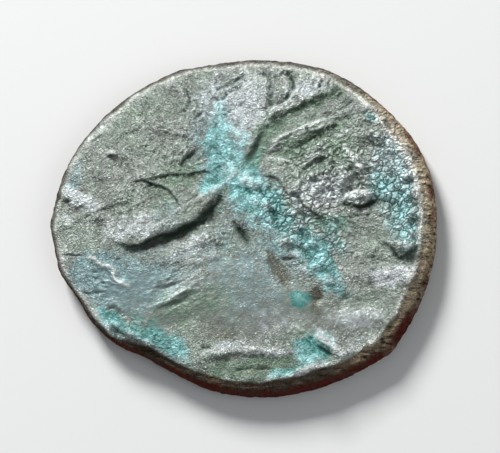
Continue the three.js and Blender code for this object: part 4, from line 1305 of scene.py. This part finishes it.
def patinated_bronze(colours):
    wires = Wiring("patinated bronze")
    metal = Weathering(wires)
    colour = stained(wires, metal, colours)
    colour = worn_dirty_lit_and_shaded(wires, metal, colours, colour)
    colour = edged(wires, metal, colours, colour)
    rough = wires.ramp(metal.grain, 0.3, 0.7, 0.34, 0.56)
    bare = wires.times(wires.ramp(metal.verdigris, 0.0, 0.6, 0.4, 0.1), wires.ramp(metal.edge, 0.9, 0.0))
    sockets = wires.shader.inputs
    wires.join(speckled(wires, metal, colour), sockets["Base Color"])
    wires.join(wires.plus(rough, wires.times(metal.crust, 0.15)), sockets["Roughness"])
    wires.join(wires.ramp(metal.edge, 0.0, 0.9, 0.5, 0.0), sockets["Specular IOR Level"])
    wires.join(bare, sockets["Metallic"])
    wires.join(fine_relief(wires, metal, 0.11 * MM), sockets["Normal"])
    return wires.material


def matte(name, colour, roughness):
    wires = Wiring(name)
    wires.shader.inputs["Base Color"].default_value = (*colour, 1.0)
    wires.shader.inputs["Roughness"].default_value = roughness
    return wires.material


# ---------------------------------------------------------------------------------------------
# What a user may change
# ---------------------------------------------------------------------------------------------


def length_property(name, description, default):
    return FloatProperty(
        name=name, description=description, default=default, min=0.0, subtype="DISTANCE", unit="LENGTH"
    )


def colour_property(name, description, default):
    return FloatVectorProperty(
        name=name, description=description, default=default, min=0.0, max=1.0, subtype="COLOR", size=3
    )


class CoinSizes(bpy.types.PropertyGroup):
    length: length_property("Length", "Longest width of the flan", SOLID_SIZE.x)
    width: length_property("Width", "Width across the flan", SOLID_SIZE.y)
    field: length_property("Field height", "Height of the obverse field at its middle", FIELD_LEVEL * MM)
    face_rings: IntProperty(
        name="Face rings", description="Fineness of the struck face, in tens",
        default=150, min=20, max=150, step=10,
    )  # fmt: skip


class CoinColours(bpy.types.PropertyGroup):
    patina: colour_property("Patina", "Grey-green patina of the field", (0.365, 0.43, 0.365))
    warm_patina: colour_property("Warm patina", "Browner patina between", (0.375, 0.405, 0.37))
    blue_patina: colour_property("Blue patina", "Cooler patina", (0.28, 0.41, 0.42))
    silver: colour_property("Silver", "Worn silvery patina", (0.78, 0.83, 0.85))
    olive: colour_property("Olive", "Olive corrosion", (0.16, 0.26, 0.17))
    brown: colour_property("Brown", "Brown earth and cuprite", (0.13, 0.12, 0.08))
    verdigris: colour_property("Verdigris", "Bright blue-green corrosion", (0.46, 0.88, 0.9))
    deep_verdigris: colour_property("Deep verdigris", "Darker blue-green corrosion", (0.04, 0.33, 0.3))
    # this colour also paints highlights on crests and pebble tops
    crest_and_highlight: colour_property("Crest", "Rubbed high places", (0.8, 0.85, 0.82))
    # this colour also paints shade and shadows in creases, hollows and cracks
    dirt_and_shade: colour_property("Dirt", "Dark dirt in hollows", (0.011, 0.032, 0.018))
    # this colour also paints highlights on the pebble tops
    bloom_and_highlight: colour_property("Bloom", "Pale blue-green crests of the corrosion", (0.54, 0.8, 0.8))
    # this colour also paints the shade in the hollows
    damp_and_shade: colour_property("Damp", "Dark green in the cracks of the corrosion", (0.02, 0.12, 0.11))
    # this colour also paints the highlight along the upper rim
    rim: colour_property("Rim", "Rubbed rim of the struck face", (0.8, 0.79, 0.72))
    # this colour is partly painted shade on the side below
    edge: colour_property("Edge", "Dark broken edge", (0.02, 0.008, 0.005))
    edge_light: colour_property("Light edge", "Olive streaks of the broken edge", (0.68, 0.55, 0.37))
    oxide: colour_property("Oxide", "Red-brown copper oxide", (0.11, 0.02, 0.013))


class StudioSettings(bpy.types.PropertyGroup):
    tilt: FloatProperty(
        name="Camera tilt", description="How far the camera leans from straight above",
        default=math.radians(13), subtype="ANGLE", unit="ROTATION",
    )  # fmt: skip
    heading: FloatProperty(
        name="Camera heading", description="Side of the coin that the camera leans towards",
        default=math.radians(-50), subtype="ANGLE", unit="ROTATION",
    )  # fmt: skip
    distance: length_property("Camera distance", "From the camera to the coin", 0.26)
    aim_right: FloatProperty(
        name="Aim right", description="How far right of the coin's middle the camera aims",
        default=0.43 * MM, subtype="DISTANCE", unit="LENGTH",
    )  # fmt: skip
    aim_up: FloatProperty(
        name="Aim up", description="How far above the coin's middle the camera aims",
        default=0.08 * MM, subtype="DISTANCE", unit="LENGTH",
    )  # fmt: skip
    view_width: length_property("View width", "Width that the camera takes in", 27.56 * MM)


# ---------------------------------------------------------------------------------------------
# Operators
# ---------------------------------------------------------------------------------------------


class COIN_OT_strike(bpy.types.Operator):
    """Makes the flan and strikes both its faces"""

    bl_idname = "coin.strike"
    bl_label = "Strike coin"

    def execute(self, context):
        sizes = context.scene.coin_sizes
        noise.seed_set(COIN_SEED)
        coin = cut_blank(sizes.face_rings, edge_rows=8, back_rings=80)
        coin.name = coin.data.name = "coin_surface"
        points, part, reach = shaped_flan(coin, sizes)
        face, side, back = zones(part)
        move_points(coin, points)

        masks = corrosion(struck(points[:, :2]))
        inside = np.where(face, 1 - np.maximum(0, (reach - ROUGH_TO) / (1 - ROUGH_TO)), 0)
        plain = inside * (1 - 0.75 * masks["smooth"])
        roughen(coin, inside * masks["crust"], plain, np.where(side, 1.0, 0.0))
        for name, values in masks.items():
            write_attribute(coin, name, np.where(back, 0.25 * values, values))
        write_attribute(coin, "relief", crests_and_hollows(coin, face))
        for name, values in edge_shares(points, part, reach).items():
            write_attribute(coin, name, values)

        bpy.ops.object.mode_set(mode="EDIT")
        bpy.ops.mesh.select_all(action="SELECT")
        bpy.ops.transform.resize(value=(MM, MM, MM), center_override=(0, 0, 0))
        bpy.ops.mesh.normals_make_consistent(inside=False)
        bpy.ops.object.mode_set(mode="OBJECT")
        bpy.ops.object.shade_smooth()
        coin.data.materials.append(patinated_bronze(context.scene.coin_colours))
        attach(coin, "root")
        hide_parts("coin")
        return {"FINISHED"}


def area_light(name, direction, distance, size, energy):
    deselect_all()
    place = Vector(direction).normalized() * distance
    bpy.ops.object.light_add(type="AREA", location=place)
    light = bpy.context.object
    light.name = name
    light.rotation_euler = (-place).to_track_quat("-Z", "Y").to_euler()
    light.data.size = size
    light.data.energy = energy
    return light


class COIN_OT_studio(bpy.types.Operator):
    """Puts a pale floor under the coin, soft lights round it and a camera above it"""

    bl_idname = "coin.studio"
    bl_label = "Set up studio"

    def execute(self, context):
        settings = context.scene.coin_studio
        deselect_all()
        bpy.ops.mesh.primitive_plane_add(size=0.6, location=(0, 0, 0))
        floor = context.object
        floor.name = "floor"
        floor.data.materials.append(matte("pale floor", (0.75, 0.75, 0.74), 0.9))

        area_light("key", (-0.36, 0.76, 0.46), distance=0.35, size=0.1, energy=2.05)
        area_light("fill", (0.9, -0.3, 0.9), distance=0.4, size=0.25, energy=0.25)
        world = bpy.data.worlds.new("studio")
        world.use_nodes = True
        world.node_tree.nodes["Background"].inputs["Color"].default_value = (0.9, 0.95, 1.0, 1.0)
        world.node_tree.nodes["Background"].inputs["Strength"].default_value = 0.25
        context.scene.world = world
        context.scene.view_settings.view_transform = "Standard"

        lean, turn = settings.tilt, settings.heading
        back = Vector((math.cos(turn) * math.sin(lean), math.sin(turn) * math.sin(lean), math.cos(lean)))
        right = Vector((0, 1, 0)).cross(back).normalized()
        up = back.cross(right)
        target = Vector((0.0, 0.0, 0.9 * MM)) + settings.aim_right * right + settings.aim_up * up
        bpy.ops.object.camera_add(location=target + settings.distance * back)
        camera = context.object
        camera.rotation_euler = Matrix((right, up, back)).transposed().to_euler()
        camera.data.lens = camera.data.sensor_width * settings.distance / settings.view_width
        camera.data.clip_start, camera.data.clip_end = 0.01, 5.0
        context.scene.camera = camera
        return {"FINISHED"}


class COIN_PT_panel(bpy.types.Panel):
    bl_label = "Coin"
    bl_idname = "COIN_PT_panel"
    bl_space_type = "VIEW_3D"
    bl_region_type = "UI"
    bl_category = "Coin"

    def draw(self, context):
        for operator in (COIN_OT_strike, COIN_OT_studio):
            self.layout.operator(operator.bl_idname)


CLASSES = (CoinSizes, CoinColours, StudioSettings, COIN_OT_strike, COIN_OT_studio, COIN_PT_panel)


def register():
    for cls in CLASSES:
        bpy.utils.register_class(cls)
    bpy.types.Scene.coin_sizes = PointerProperty(type=CoinSizes)
    bpy.types.Scene.coin_colours = PointerProperty(type=CoinColours)
    bpy.types.Scene.coin_studio = PointerProperty(type=StudioSettings)


def unregister():
    del bpy.types.Scene.coin_sizes, bpy.types.Scene.coin_colours, bpy.types.Scene.coin_studio
    for cls in reversed(CLASSES):
        bpy.utils.unregister_class(cls)


def main():
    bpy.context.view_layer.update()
    register()
    bpy.ops.coin.strike()
    bpy.ops.coin.studio()


if __name__ == "__main__":
    main()
